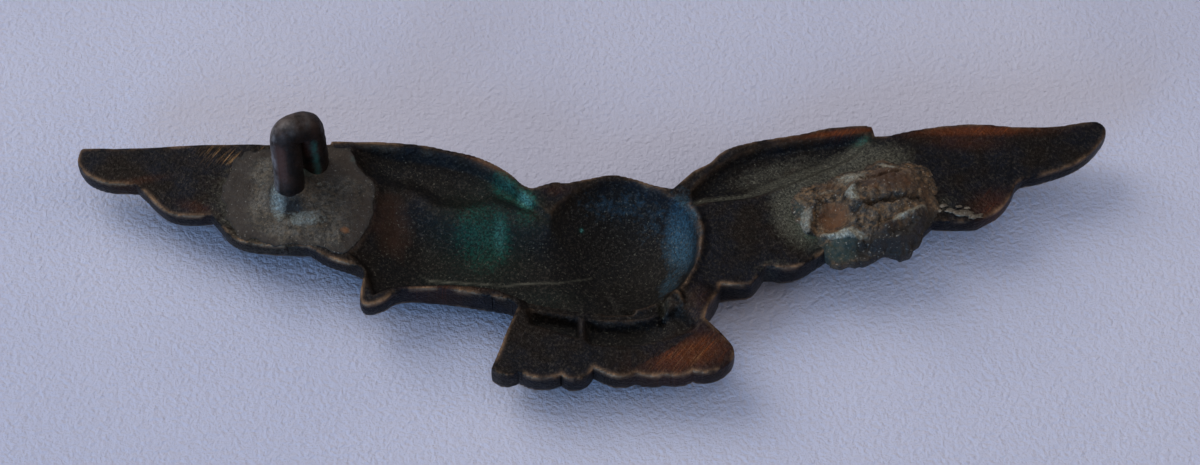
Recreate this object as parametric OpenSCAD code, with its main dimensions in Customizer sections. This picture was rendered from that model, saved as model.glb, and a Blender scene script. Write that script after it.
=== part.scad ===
// Struck wings badge, lying on its face with its back upwards.
// One die-struck bronze bird, one soldered wire loop, and the torn solder of a second loop.
// X runs along the span, Y towards the top edges of the wings, Z out of the back.
// The origin is under the middle of the badge, at the lowest point of the breast.

/* [Overall] */
// wing tip to wing tip
span = 76.6; // [62:0.2:94]
// top of the wings to the foot of the tail
height = 21.5; // [18:0.1:26]
// how far the breast stands below the flat of the back
breast_depth = 4.3; // [3.4:0.1:5.4]

/* [Plate] */
// thickness of the wings
wing_t = 1.6; // [1.4:0.05:2.2]
// thickness at the head
head_t = 2.8; // [2.3:0.1:3.4]
// thickness of the tail and of the ground round the breast
tail_t = 2; // [1.8:0.05:2.8]
// how far the flat of the tail sits below the flat of the wings
tail_drop = 0.2; // [0.1:0.05:0.4]
// metal left between the relief and its hollow
shell_t = 0.8; // [0.6:0.05:1]

/* [Hollows] */
// width of the breast at the flat of the back
breast_d = 12.6; // [11.4:0.1:13.2]
// depth of the hollow behind the neck
neck_depth = 2.2; // [1.4:0.1:2.6]
// depth of the trough behind each shoulder
trough_depth = 0.9; // [0.4:0.05:1]
// depth of the curved cell between the breast and the tail
cell_depth = 1; // [0.5:0.05:1.2]
// width of the bar across that cell
bar_w = 0.5; // [0.3:0.05:0.9]
// height of the ridge beside the breast
rim_h = 0.3; // [0.15:0.05:0.5]

/* [Feathers] */
// depth of the grooves on the face
groove_d = 0.35; // [0.15:0.05:0.5]
// how far each feather end stands out, as a share of its drawn bow
bow = 1; // [0.8:0.05:1.15]

/* [Loop] */
// thickness of the wire
wire_d = 2.3; // [1.8:0.05:2.6]
// distance between the two legs, centre to centre
leg_pitch = 3; // [3:0.1:3.9]
// height of the loop above the back
loop_h = 6.8; // [5:0.1:8]
// turn of the loop away from the Y axis
loop_turn = -34; // [-60:1:60]

/* [Solder] */
// thickness of the solder round the loop
pool_t = 0.35; // [0.2:0.05:0.6]
// height of the solder collar on each leg
collar_h = 0.9; // [0.6:0.05:1.4]
// height of the torn solder
torn_h = 2.2; // [1.8:0.1:2.8]
// height of the broken leg left in the torn solder
stub_h = 1.7; // [1.2:0.1:2.1]

/* [Hidden] */

$fn = 64;
drawn_span = 76.6;
drawn_height = 21.5;
sx = span / drawn_span;
sy = height / drawn_height;
back_z = breast_depth;
bow_steps = 8;
groove_share = 0.6;
over = 1;

breast_x = 1.6;
breast_y = 0.6;
breast_r = (pow(breast_d / 2, 2) + pow(breast_depth, 2)) / (2 * breast_depth);
breast_z = back_z - breast_depth + breast_r;

loop_x = -21.6;
loop_y = 7.1;
stub_x = 21.7;
stub_y = 4.3;
socket_x = 17.4;
socket_y = 2.9;
torn_x = 19.8;
torn_y = 3.2;

// Outlines are rings of corners, each with the bow of the edge that leaves it.
left_wing = [
    [-38.3, 10, 1], [-33.8, 7.2, 1.05], [-28.2, 4.3, 1.25], [-21, 1.2, 0.25],
    [-17, -0.9, 0], [-1, -1.5, 0], [-1, 6, 0], [-4.7, 5.9, 1.6],
    [-19.5, 10.75, 0], [-19.7, 10.45, 0.15], [-38, 10.7, 0.1]
];
right_wing = [
    [3, -2.5, 0], [8.7, -3.1, 0.85], [12, -1.7, 0.65], [16.7, -0.4, 1.15],
    [24.6, 1.9, 1.4], [31, 5, 0.8], [38.3, 9.3, 0.15], [38, 10.4, -0.25],
    [28.9, 10.6, 0.15], [21, 9.8, 0], [20.6, 10.75, 1.7], [5.7, 5.5, 0], [3, 5, 0]
];
shoulders = [[-6.1, -4.2, 0], [6.9, -5.6, 0], [8.6, -3, 0], [5.7, 5.5, 1.15], [-4.7, 5.9, 0]];
head = [
    [-17, -0.9, 0.1], [-17.2, -3.6, 0.25], [-16.2, -4.1, 0.1], [-14.5, -2.8, -0.75],
    [-5.9, -4.6, 0], [-2, -4, 0], [-2, 3, 0], [-14, 3, 0]
];
left_tail = [[-7.8, -9.6, 0.25], [-5.2, -10.4, 0.2], [-2.9, -10.45, 0.25], [-0.7, -9.8, 0]];
right_tail = [[1.9, -10.5, 0.2], [4.1, -10.5, 0.25], [6.4, -10.4, 0.3], [8.8, -9.7, 0.35]];
tail_root = [[9.2, -8, 0], [7, -5.8, 0], [6, -5, 0], [-5, -4, 0], [-5.9, -4.7, 0]];
pool = [
    [-27.4, 5.6, 0.3], [-26.2, 3.1, 0.3], [-21.4, 1.7, 0], [-18.8, 0.7, 0.3],
    [-17.2, 2.6, 0.2], [-16.9, 5.2, -0.2], [-18.3, 9.6, 0.1], [-25.6, 10.1, 0.3],
    [-26.9, 8.3, 0.2]
];
torn_edge = [
    [14.9, 3.8, 0.3], [15.9, 1.2, 0.3], [19.4, 0, 0.3], [23.6, 1.4, 0.3],
    [24.7, 4.2, 0.4], [23, 6.4, 0.1], [19.6, 6.6, 0.2], [16.6, 5.6, 0.2]
];

function scaled(p) = [p.x * sx, p.y * sy];
function out_of(d) = [d.y, -d.x] / norm(d);
function edge(p, q, sag) = [
    for (i = [0 : bow_steps - 1])
        let (t = i / bow_steps) p + t * (q - p) + 4 * bow * sag * t * (1 - t) * out_of(q - p)
];
function next(ring, i) = ring[(i + 1) % len(ring)];
function corner(ring, i) = ring[i].z == 0
    ? [scaled(ring[i])]
    : edge(scaled(ring[i]), scaled(next(ring, i)), ring[i].z);
function outline(ring) = [for (i = [0 : len(ring) - 1]) each corner(ring, i)];

module flat(ring) polygon(outline(ring));

module plate(ring, thick, top = back_z)
    translate([0, 0, top - thick]) linear_extrude(thick) flat(ring);

module badge_outline() {
    flat(left_wing);
    flat(right_wing);
    flat(shoulders);
    flat(head);
    flat(concat(left_tail, right_tail, tail_root));
}

// A half-buried egg, long axis turned in the plane of the back.
module egg(at, size, turn = 0, z = back_z)
    translate([at.x * sx, at.y * sy, z]) rotate(turn) scale(size) sphere(1);

module breast(inset)
    translate([breast_x * sx, breast_y * sy, breast_z]) rotate([90, 0, 0]) sphere(breast_r - inset);

module neck(inset) egg([-7.6, 1.2], [8.7 * sx - inset, 4.8 * sy - inset, neck_depth + shell_t - inset]);

module trough(at, turn, inset)
    egg(at, [7.4 * sx - inset, 2.8 * sy - inset, trough_depth + shell_t - inset], turn);

module relief(inset) {
    breast(inset);
    neck(inset);
    trough([-11.4, 7.3], -19, inset);
    trough([13.4, 7.2], 20, inset);
}

function towards(p, q) = [p.x, p.y] + groove_share * (q - [p.x, p.y]);

// A groove with a square section set on edge, from one point of the face to another.
module groove(p, q, z) {
    a = scaled(p);
    d = scaled(q) - a;
    translate([a.x, a.y, z]) rotate([90, 0, atan2(d.y, d.x) + 90]) translate([0, 0, -over])
        cylinder(r = groove_d, h = norm(d) + over, $fn = 4);
}

module feather_grooves() {
    wing_face = back_z - wing_t;
    for (i = [1 : 3]) groove(left_wing[i], towards(left_wing[i], [-12, 7]), wing_face);
    for (i = [2 : 5]) groove(right_wing[i], towards(right_wing[i], [12.5, 7]), wing_face);
    tail_face = back_z - tail_drop - tail_t;
    for (p = concat(left_tail, right_tail)) groove(p, towards(p, [1.2, -4.6]), tail_face);
}

module cell() {
    floor_z = back_z - cell_depth;
    difference() {
        translate([0.8 * sx, 0.2 * sy, floor_z]) cylinder(r = 8.4 * sy, h = cell_depth + over);
        translate([breast_x * sx, breast_y * sy, floor_z - over])
            cylinder(r = breast_d / 2 + 0.2, h = cell_depth + 3 * over);
        translate([-20 * sx, -4.6 * sy, floor_z - over]) cube([40 * sx, 20 * sy, cell_depth + 3 * over]);
        translate([-1.5 * sx - bar_w / 2, -12 * sy, floor_z - over])
            cube([bar_w, 12 * sy, over + cell_depth * 0.7]);
    }
}

module breast_rim()
    translate([breast_x * sx, breast_y * sy, back_z - rim_h])
        rotate(-62) rotate_extrude(angle = 92) translate([breast_d / 2 - 0.1, 0]) circle(2 * rim_h);

module struck_badge() {
    color("DarkGoldenrod") difference() {
        union() {
            intersection() {
                union() {
                    plate(left_wing, wing_t);
                    plate(right_wing, wing_t);
                    plate(shoulders, tail_t);
                    plate(head, head_t);
                    plate(concat(left_tail, right_tail, tail_root), tail_t, back_z - tail_drop);
                    relief(0);
                }
                translate([0, 0, -over]) linear_extrude(back_z + over) badge_outline();
            }
            breast_rim();
        }
        relief(shell_t);
        cell();
        feather_grooves();
    }
}

module at_loop() translate([loop_x * sx, loop_y * sy, back_z]) rotate(loop_turn) children();

module legs(radius, tall)
    for (side = [-1, 1]) translate([0, side * leg_pitch / 2, 0]) cylinder(r = radius, h = tall);

module fixing_loop() {
    straight = loop_h - leg_pitch / 2 - wire_d / 2;
    color("Peru") at_loop() {
        legs(wire_d / 2, straight);
        translate([0, 0, straight]) rotate([90, 0, 90])
            rotate_extrude(angle = 180) translate([leg_pitch / 2, 0]) circle(wire_d / 2);
    }
}

module loop_solder() {
    color("DarkGray") difference() {
        union() {
            translate([0, 0, back_z]) linear_extrude(pool_t) flat(pool);
            at_loop() for (side = [-1, 1]) translate([0, side * leg_pitch / 2, 0])
                cylinder(r1 = wire_d / 2 + 0.9, r2 = wire_d / 2 + 0.25, h = collar_h);
        }
        translate([0, 0, -over]) at_loop() legs(wire_d / 2, loop_h);
    }
}

module torn_solder() {
    color("SaddleBrown") difference() {
        union() {
            translate([0, 0, back_z]) linear_extrude(torn_h / 4) flat(torn_edge);
            intersection() {
                union() {
                    egg([torn_x, torn_y], [4.1 * sx, 2.5 * sy, torn_h], 12);
                    egg([stub_x, stub_y], [2.4, 2 * sy, torn_h * 0.9]);
                    egg([socket_x, socket_y], [2.2, 2 * sy, torn_h * 0.8]);
                }
                translate([0, 0, back_z]) linear_extrude(2 * torn_h) flat(torn_edge);
            }
        }
        egg([socket_x, socket_y], [1.25, 1.2, 0.9], 0, back_z + torn_h * 0.85);
        translate([stub_x * sx, stub_y * sy, back_z - over]) cylinder(d = wire_d, h = 2 * torn_h);
    }
}

module sheared_leg()
    color("Sienna") translate([stub_x * sx, stub_y * sy, back_z]) cylinder(d = wire_d, h = stub_h);

struck_badge();
fixing_loop();
loop_solder();
torn_solder();
sheared_leg();
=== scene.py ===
"""Looks for a struck wings badge that lies on its face.

It is patinated bronze with one soldered wire loop and the torn solder of another.
"""

import logging
import math
from collections.abc import Callable, Sequence
from dataclasses import dataclass, field
from enum import Enum

import bpy
import numpy as np
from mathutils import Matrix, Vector


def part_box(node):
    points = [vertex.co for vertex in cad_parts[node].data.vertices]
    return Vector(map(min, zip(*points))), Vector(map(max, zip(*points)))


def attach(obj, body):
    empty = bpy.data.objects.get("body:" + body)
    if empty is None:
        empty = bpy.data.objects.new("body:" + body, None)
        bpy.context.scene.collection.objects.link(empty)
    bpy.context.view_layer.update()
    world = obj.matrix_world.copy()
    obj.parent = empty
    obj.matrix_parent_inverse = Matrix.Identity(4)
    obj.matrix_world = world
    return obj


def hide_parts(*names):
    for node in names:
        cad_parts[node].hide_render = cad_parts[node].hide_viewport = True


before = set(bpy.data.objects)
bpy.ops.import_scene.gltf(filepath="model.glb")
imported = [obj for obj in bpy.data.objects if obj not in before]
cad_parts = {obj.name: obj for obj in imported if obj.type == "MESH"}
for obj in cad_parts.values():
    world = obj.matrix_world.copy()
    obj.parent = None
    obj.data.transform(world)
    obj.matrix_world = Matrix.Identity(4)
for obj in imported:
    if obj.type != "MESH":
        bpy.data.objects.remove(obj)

log = logging.getLogger("wings_badge")
logging.basicConfig(level=logging.INFO, format="%(message)s")

MM = 0.001
Array = np.ndarray
Colour = tuple[float, float, float]
Point = tuple[float, float]
Socket = bpy.types.NodeSocket


# ---------------------------------------------------------------- shaping tools


def ease(low: float, high: float, value: Array) -> Array:
    """Smooth step from 0 at low to 1 at high.

    Args:
        low: Value where the step starts.
        high: Value where the step ends.
        value: What is stepped.

    Returns:
        The step, between 0 and 1.
    """
    t = np.clip((value - low) / (high - low), 0.0, 1.0)
    return t * t * (3.0 - 2.0 * t)


def lower_of(a: Array, b: Array, soft: float | Array) -> Array:
    """The lower of two surfaces, with the crease between them rounded.

    Args:
        a: First heights.
        b: Second heights.
        soft: Height over which the crease is rounded.

    Returns:
        The blended heights.
    """
    h = np.clip(0.5 + 0.5 * (b - a) / soft, 0.0, 1.0)
    return b + (a - b) * h - soft * h * (1.0 - h)


class Grain:
    """Repeatable lumpy noise over the plane."""

    def __init__(self, seed: int) -> None:
        """Fills the table that the noise is read from."""
        self.table = np.random.default_rng(seed).random((64, 64)) * 2.0 - 1.0

    def at(self, x: Array, y: Array, size: float) -> Array:
        """One layer of noise.

        Args:
            x: Points along the span.
            y: Points across it.
            size: Width of one lump.

        Returns:
            Values between -1 and 1.
        """
        u, v = x / size, y / size
        i, j = np.floor(u).astype(int), np.floor(v).astype(int)
        fu, fv = u - i, v - j
        fu, fv = fu * fu * (3 - 2 * fu), fv * fv * (3 - 2 * fv)
        t = self.table
        near = t[i % 64, j % 64] * (1 - fu) + t[(i + 1) % 64, j % 64] * fu
        far = t[i % 64, (j + 1) % 64] * (1 - fu) + t[(i + 1) % 64, (j + 1) % 64] * fu
        return near * (1 - fv) + far * fv

    def rough(self, x: Array, y: Array, size: float, layers: int = 3) -> Array:
        """Several layers of noise, each half as big and half as strong as the last.

        Args:
            x: Points along the span.
            y: Points across it.
            size: Width of the biggest lumps.
            layers: How many layers are added.

        Returns:
            Values roughly between -1 and 1.
        """
        total = np.zeros(np.shape(x))
        for k in range(layers):
            turn = 0.6 * k
            u = x * math.cos(turn) - y * math.sin(turn) + 7.3 * k
            v = x * math.sin(turn) + y * math.cos(turn) - 3.1 * k
            total += self.at(u, v, size / 2**k) / 2**k
        return total / 1.6


@dataclass(frozen=True)
class Trace:
    """A closed line on the back of the badge, smooth but for its sharp corners. Sizes in millimetres."""

    corners: tuple[tuple[float, float, int], ...]
    step: float = 0.25

    def line(self) -> Array:
        """The line as points.

        Returns:
            An array of points, N by 2.
        """
        n = len(self.corners)
        p = np.array([c[:2] for c in self.corners])
        sharp = [bool(c[2]) for c in self.corners]
        out = []
        for i in range(n):
            a, b = p[i], p[(i + 1) % n]
            before = 2 * a - b if sharp[i] else p[i - 1]
            after = 2 * b - a if sharp[(i + 1) % n] else p[(i + 2) % n]
            count = max(2, int(np.linalg.norm(b - a) / self.step))
            t = (np.arange(count) / count)[:, None]
            out.append(
                0.5
                * (
                    2 * a
                    + (b - before) * t
                    + (2 * before - 5 * a + 4 * b - after) * t**2
                    + (3 * a - before - 3 * b + after) * t**3
                )
            )
        return np.concatenate(out)

    def room(self, x: Array, y: Array) -> Array:
        """How far inside the line each point is.

        Args:
            x: Points along the span.
            y: Points across it.

        Returns:
            Distance to the line, negative outside.
        """
        line = self.line()
        nearest = np.full(np.shape(x), 1e9)
        inside = np.zeros(np.shape(x), dtype=bool)
        for (ax, ay), (bx, by) in zip(line, np.roll(line, -1, axis=0)):
            dx, dy = bx - ax, by - ay
            t = np.clip(((x - ax) * dx + (y - ay) * dy) / (dx * dx + dy * dy + 1e-12), 0, 1)
            nearest = np.minimum(nearest, (x - ax - t * dx) ** 2 + (y - ay - t * dy) ** 2)
            if ay != by:
                inside ^= ((ay > y) != (by > y)) & (x < (bx - ax) * (y - ay) / (by - ay) + ax)
        return np.sqrt(nearest) * np.where(inside, 1.0, -1.0)


def along(x: Array, y: Array, points: Sequence[Point]) -> Array:
    """Distance from an open line.

    Args:
        x: Points along the span.
        y: Points across it.
        points: Corners of the line.

    Returns:
        Distances.
    """
    nearest = np.full(np.shape(x), 1e9)
    for (ax, ay), (bx, by) in zip(points[:-1], points[1:]):
        dx, dy = bx - ax, by - ay
        t = np.clip(((x - ax) * dx + (y - ay) * dy) / (dx * dx + dy * dy), 0, 1)
        nearest = np.minimum(nearest, np.hypot(x - ax - t * dx, y - ay - t * dy))
    return nearest


def bead(x: Array, y: Array, points: Sequence[Point], width: float) -> Array:
    """A soft ridge along an open line, 1 at its middle.

    Args:
        x: Points along the span.
        y: Points across it.
        points: Corners of the line.
        width: Distance at which it has fallen to about a third.

    Returns:
        Values from 0 to 1.
    """
    return np.exp(-((along(x, y, points) / width) ** 2))


def sleeve(rings: int, around: int, start: int = 0) -> Array:
    """Triangles that join rings of points into a tube.

    Args:
        rings: How many rings there are.
        around: How many points each ring has.
        start: Number of the first point.

    Returns:
        Three point numbers for each triangle.
    """
    i, j = np.meshgrid(np.arange(rings - 1), np.arange(around), indexing="ij")
    a, b = start + i * around + j, start + i * around + (j + 1) % around
    halves = [np.stack([a, b, b + around], -1), np.stack([a, b + around, a + around], -1)]
    return np.concatenate(halves).reshape(-1, 3)


def lid(first: int, around: int, middle: int, up: bool) -> Array:
    """Triangles that close one ring of points.

    Args:
        first: Number of the ring's first point.
        around: How many points it has.
        middle: Number of the point in its middle.
        up: Whether the ring is the tube's last, not its first.

    Returns:
        Three point numbers for each triangle.
    """
    a = first + np.arange(around)
    b = first + (np.arange(around) + 1) % around
    return np.stack([np.full(around, middle), a, b] if up else [np.full(around, middle), b, a], -1)


@dataclass(frozen=True)
class Blot:
    """A soft oval patch. Sizes in millimetres, turn in degrees."""

    x: float
    y: float
    long: float
    wide: float
    turn: float = 0.0
    strength: float = 1.0

    def cover(self, x: Array, y: Array) -> Array:
        """How strongly the patch covers each point.

        Args:
            x: Points along the span.
            y: Points across it.

        Returns:
            Values from 0 to the patch's strength.
        """
        c, s = math.cos(math.radians(self.turn)), math.sin(math.radians(self.turn))
        u = ((x - self.x) * c + (y - self.y) * s) / self.long
        v = (-(x - self.x) * s + (y - self.y) * c) / self.wide
        return self.strength * np.exp(-((u * u + v * v) ** 1.3))


def blots(x: Array, y: Array, patches: Sequence[Blot]) -> Array:
    """The strongest of several patches at each point.

    Args:
        x: Points along the span.
        y: Points across it.
        patches: The patches.

    Returns:
        Values from 0 to 1.
    """
    total = np.zeros(np.shape(x))
    for patch in patches:
        total = np.maximum(total, patch.cover(x, y))
    return np.clip(total, 0.0, 1.0)


def spots(text: str) -> tuple[Blot, ...]:
    """Reads patches written as x,y,long,wide and then, if they matter, turn and strength.

    Args:
        text: The patches, with spaces between them.

    Returns:
        The patches.
    """
    return tuple(Blot(*map(float, word.split(","))) for word in text.split())


@dataclass
class Skin:
    """A closed skin cut from a fine grid: an upper surface, a lower surface and the wall round them."""

    x: Array
    y: Array
    room: Array
    fields: dict[str, Array]
    points: Array = field(init=False)
    triangles: Array = field(init=False)
    rim: Array = field(init=False)
    values: dict[str, Array] = field(init=False)

    def __post_init__(self) -> None:
        """Cuts the grid along the line where room is zero."""
        nx, ny = self.room.shape
        ids = np.arange(nx * ny).reshape(nx, ny)
        a, b, c, d = ids[:-1, :-1], ids[1:, :-1], ids[1:, 1:], ids[:-1, 1:]
        cells = np.concatenate([np.stack([a, b, c], -1).reshape(-1, 3), np.stack([a, c, d], -1).reshape(-1, 3)])
        room = self.room.ravel()
        within = room[cells] > 0
        count = within.sum(1)
        cells, within, count = cells[count > 0], within[count > 0], count[count > 0]

        whole = cells[count == 3]
        one = self._first(cells[count == 1], within[count == 1])
        two = self._first(cells[count == 2], ~within[count == 2])
        pairs = np.concatenate([one[:, [0, 1]], one[:, [0, 2]], two[:, [0, 1]], two[:, [0, 2]]])
        keys, place = np.unique(np.sort(pairs, axis=1), axis=0, return_inverse=True)
        place = place.ravel() + nx * ny
        m, k = len(one), len(two)
        one_b, one_c, two_b, two_c = place[:m], place[m : 2 * m], place[2 * m : 2 * m + k], place[2 * m + k :]
        triangles = np.concatenate(
            [
                whole,
                np.stack([one[:, 0], one_b, one_c], 1),
                np.stack([two_b, two[:, 1], two[:, 2]], 1),
                np.stack([two_b, two[:, 2], two_c], 1),
            ]
        )
        rim = np.concatenate([np.stack([one_b, one_c], 1), np.stack([two_c, two_b], 1)])
        share = room[keys[:, 0]] / (room[keys[:, 0]] - room[keys[:, 1]])
        share = np.clip(share, 0.02, 0.98)

        def both(values: Array) -> Array:
            """Grid values, followed by the values at the cut."""
            v = values.ravel()
            return np.concatenate([v, v[keys[:, 0]] * (1 - share) + v[keys[:, 1]] * share])

        x, y = both(self.x), both(self.y)
        used = np.unique(triangles)
        new = np.full(len(x), -1)
        new[used] = np.arange(len(used))
        self.points = np.stack([x, y], 1)[used]
        self.triangles, self.rim = new[triangles], new[rim]
        self.values = {name: both(values)[used] for name, values in self.fields.items()}

    @staticmethod
    def _first(cells: Array, flags: Array) -> Array:
        """Turns each triangle so that its flagged corner comes first.

        Args:
            cells: Triangles.
            flags: One true corner in each.

        Returns:
            The turned triangles.
        """
        at = flags.argmax(1)
        rows = np.arange(len(cells))
        return np.stack([cells[rows, (at + k) % 3] for k in range(3)], 1)

    def build(
        self, name: str, upper: Array, lower: Array, rows: int, bulge: Callable[[Array], Array]
    ) -> bpy.types.Object:
        """Makes the closed mesh.

        Args:
            name: Name of the piece.
            upper: Height of the upper surface at each point, in millimetres.
            lower: Height of the lower surface.
            rows: How many bands the wall has.
            bulge: How far the wall stands out, from its top at 0 to its foot at 1.

        Returns:
            The new object, with one value a point for each field.
        """
        n = len(self.points)
        edge, slot_of = np.unique(self.rim, return_inverse=True)
        slot_of = slot_of.reshape(self.rim.shape)
        p, q = self.points[self.rim[:, 0]], self.points[self.rim[:, 1]]
        out = np.zeros((len(edge), 2))
        normal = np.stack([(q - p)[:, 1], -(q - p)[:, 0]], 1)
        for side in (0, 1):
            np.add.at(out, slot_of[:, side], normal)
        out /= np.linalg.norm(out, axis=1, keepdims=True) + 1e-12

        layers = [edge]
        extra, values = [], {key: [value, value] for key, value in self.values.items()}
        for k in range(1, rows):
            t = np.full(len(edge), k / rows)
            flat = self.points[edge] + out * bulge(t)[:, None]
            height = upper[edge] * (1 - t) + lower[edge] * t
            extra.append(np.column_stack([flat, height]))
            layers.append(2 * n + (k - 1) * len(edge) + np.arange(len(edge)))
            for key, value in self.values.items():
                fade = max(0.0, 1.0 - 4.0 * k / rows) if key == "edge" else 1.0
                values[key].append(value[edge] * fade)
        layers.append(edge + n)
        walls = []
        for top, foot in zip(layers[:-1], layers[1:]):
            pt, qt, pf, qf = top[slot_of[:, 0]], top[slot_of[:, 1]], foot[slot_of[:, 0]], foot[slot_of[:, 1]]
            walls += [np.stack([pt, pf, qf], 1), np.stack([pt, qf, qt], 1)]
        verts = np.concatenate([np.column_stack([self.points, upper]), np.column_stack([self.points, lower]), *extra])
        faces = np.concatenate([self.triangles, self.triangles[:, ::-1] + n, *walls])
        marks = {key: np.concatenate(value) for key, value in values.items()}
        return solid(name, verts * MM, faces, marks)


def solid(name: str, verts: Array, faces: Array, marks: dict[str, Array]) -> bpy.types.Object:
    """Makes a smooth mesh object from arrays.

    Args:
        name: Name of the piece.
        verts: Points, N by 3, in metres.
        faces: Corners of each face.
        marks: One value a point, by name.

    Returns:
        The new object, linked to the scene.
    """
    mesh = bpy.data.meshes.new(name)
    size = faces.shape[1]
    mesh.vertices.add(len(verts))
    mesh.vertices.foreach_set("co", verts.astype(np.float32).ravel())
    mesh.loops.add(faces.size)
    mesh.loops.foreach_set("vertex_index", faces.astype(np.int32).ravel())
    mesh.polygons.add(len(faces))
    mesh.polygons.foreach_set("loop_start", np.arange(0, faces.size, size, dtype=np.int32))
    mesh.update(calc_edges=True)
    mesh.validate()
    mesh.shade_smooth()
    for key, value in marks.items():
        mesh.attributes.new(key, "FLOAT", "POINT").data.foreach_set("value", value.astype(np.float32))
    made = bpy.data.objects.new(name, mesh)
    bpy.context.scene.collection.objects.link(made)
    return made


def grid(low: Point, high: Point, pitch: float) -> tuple[Array, Array]:
    """An even grid of points.

    Args:
        low: Lowest corner.
        high: Highest corner.
        pitch: Distance between points.

    Returns:
        The points' x and y, each a 2-D array.
    """
    xs, ys = np.arange(low[0], high[0] + pitch, pitch), np.arange(low[1], high[1] + pitch, pitch)
    x, y = np.meshgrid(xs, ys, indexing="ij")
    return x, y


# ---------------------------------------------------------------- node tools


class Graph:
    """Short ways to lay nodes in one node tree."""

    def __init__(self, tree: bpy.types.NodeTree) -> None:
        """Starts in an existing tree."""
        self.tree = tree
        self.count = 0

    def add(self, kind: str, **inputs: object) -> bpy.types.Node:
        """Adds a node and fills its inputs.

        Args:
            kind: Blender's node type.
            **inputs: Values or sockets by input name, with underscores for spaces.

        Returns:
            The node.
        """
        node = self.tree.nodes.new(kind)
        node.location = (200 * (self.count % 12), -220 * (self.count // 12))
        self.count += 1
        for name, value in inputs.items():
            self.feed(node.inputs[name.replace("_", " ")], value)
        return node

    def feed(self, socket: Socket, value: object) -> None:
        """Links a socket, or sets its own value.

        Args:
            socket: Input to fill.
            value: Another socket, a colour or a number.
        """
        if isinstance(value, bpy.types.NodeSocket):
            self.tree.links.new(value, socket)
        elif socket.type == "RGBA" and len(value) == 3:
            socket.default_value = (*value, 1.0)
        else:
            socket.default_value = value

    def maths(self, operation: str, a: object, b: object = 0.0, clamp: bool = False) -> Socket:
        """A Math node's result.

        Args:
            operation: Blender's name for the sum.
            a: First value.
            b: Second value.
            clamp: Whether the result stays between 0 and 1.

        Returns:
            The result.
        """
        node = self.add("ShaderNodeMath")
        node.operation, node.use_clamp = operation, clamp
        self.feed(node.inputs[0], a)
        self.feed(node.inputs[1], b)
        return node.outputs[0]

    def times(self, a: object, b: object, clamp: bool = False) -> Socket:
        """The product of two values, kept between 0 and 1 if clamp is set."""
        return self.maths("MULTIPLY", a, b, clamp)

    def mix(self, share: object, a: object, b: object) -> Socket:
        """Two colours mixed.

        Args:
            share: 0 for the first, 1 for the second.
            a: First colour.
            b: Second colour.

        Returns:
            The mixed colour.
        """
        node = self.tree.nodes.new("ShaderNodeMix")
        node.data_type = "RGBA"
        node.location = (200 * (self.count % 12), -220 * (self.count // 12))
        self.count += 1
        for index, value in ((0, share), (6, a), (7, b)):
            self.feed(node.inputs[index], value)
        return node.outputs[2]

    def band(self, value: object, low: float, high: float, to_low: float = 0.0, to_high: float = 1.0) -> Socket:
        """A value moved smoothly from one range to another.

        Args:
            value: What is moved.
            low: Start of its range.
            high: End of its range.
            to_low: Start of the new range.
            to_high: End of the new range.

        Returns:
            The moved value.
        """
        node = self.add("ShaderNodeMapRange", Value=value)
        node.interpolation_type = "SMOOTHSTEP"
        for name, number in (("From Min", low), ("From Max", high), ("To Min", to_low), ("To Max", to_high)):
            node.inputs[name].default_value = number
        return node.outputs["Result"]

    def noise(self, vector: object, size: float | Socket, detail: float = 3.0, rough: float = 0.5) -> Socket:
        """Noise with lumps about size millimetres wide.

        Args:
            vector: Place, in millimetres.
            size: Width of a lump.
            detail: Layers of finer noise.
            rough: Strength of the finer layers.

        Returns:
            Values between 0 and 1.
        """
        scale = self.maths("DIVIDE", 1.0, size) if isinstance(size, bpy.types.NodeSocket) else 1.0 / size
        node = self.add("ShaderNodeTexNoise", Vector=vector, Scale=scale, Detail=detail, Roughness=rough)
        return node.outputs["Fac"]

    def relief(self, shader: bpy.types.Node, height: Socket, depth: float, strength: float) -> None:
        """Gives a shader fine relief.

        Args:
            shader: The shader.
            height: The relief, from 0 to 1.
            depth: How deep it is, in millimetres.
            strength: How strongly it shows.
        """
        bump = self.add("ShaderNodeBump", Height=height)
        bump.inputs["Distance"].default_value = depth * MM
        bump.inputs["Strength"].default_value = strength
        self.feed(shader.inputs["Normal"], bump.outputs["Normal"])

    def mark(self, name: str) -> Socket:
        """One of the mesh's own values.

        Args:
            name: The value's name.

        Returns:
            The value at each point.
        """
        node = self.add("ShaderNodeAttribute")
        node.attribute_name = name
        return node.outputs["Fac"]

    def place(self) -> Socket:
        """Place on the object, in millimetres.

        Returns:
            The vector socket.
        """
        node = self.add("ShaderNodeVectorMath", Vector=self.add("ShaderNodeTexCoord").outputs["Object"])
        node.operation = "SCALE"
        node.inputs["Scale"].default_value = 1.0 / MM
        return node.outputs["Vector"]


class Effect(Enum):
    """The shared surface effects."""

    PITS = "Pits and lumps"
    BLOOM = "Broken bloom"
    SPECKS = "Pale specks"
    SCRATCHES = "Fine scratches"
    # Also makes the wire loop's painted highlight.
    WEAR_AND_HIGHLIGHT = "Edge wear"


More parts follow.
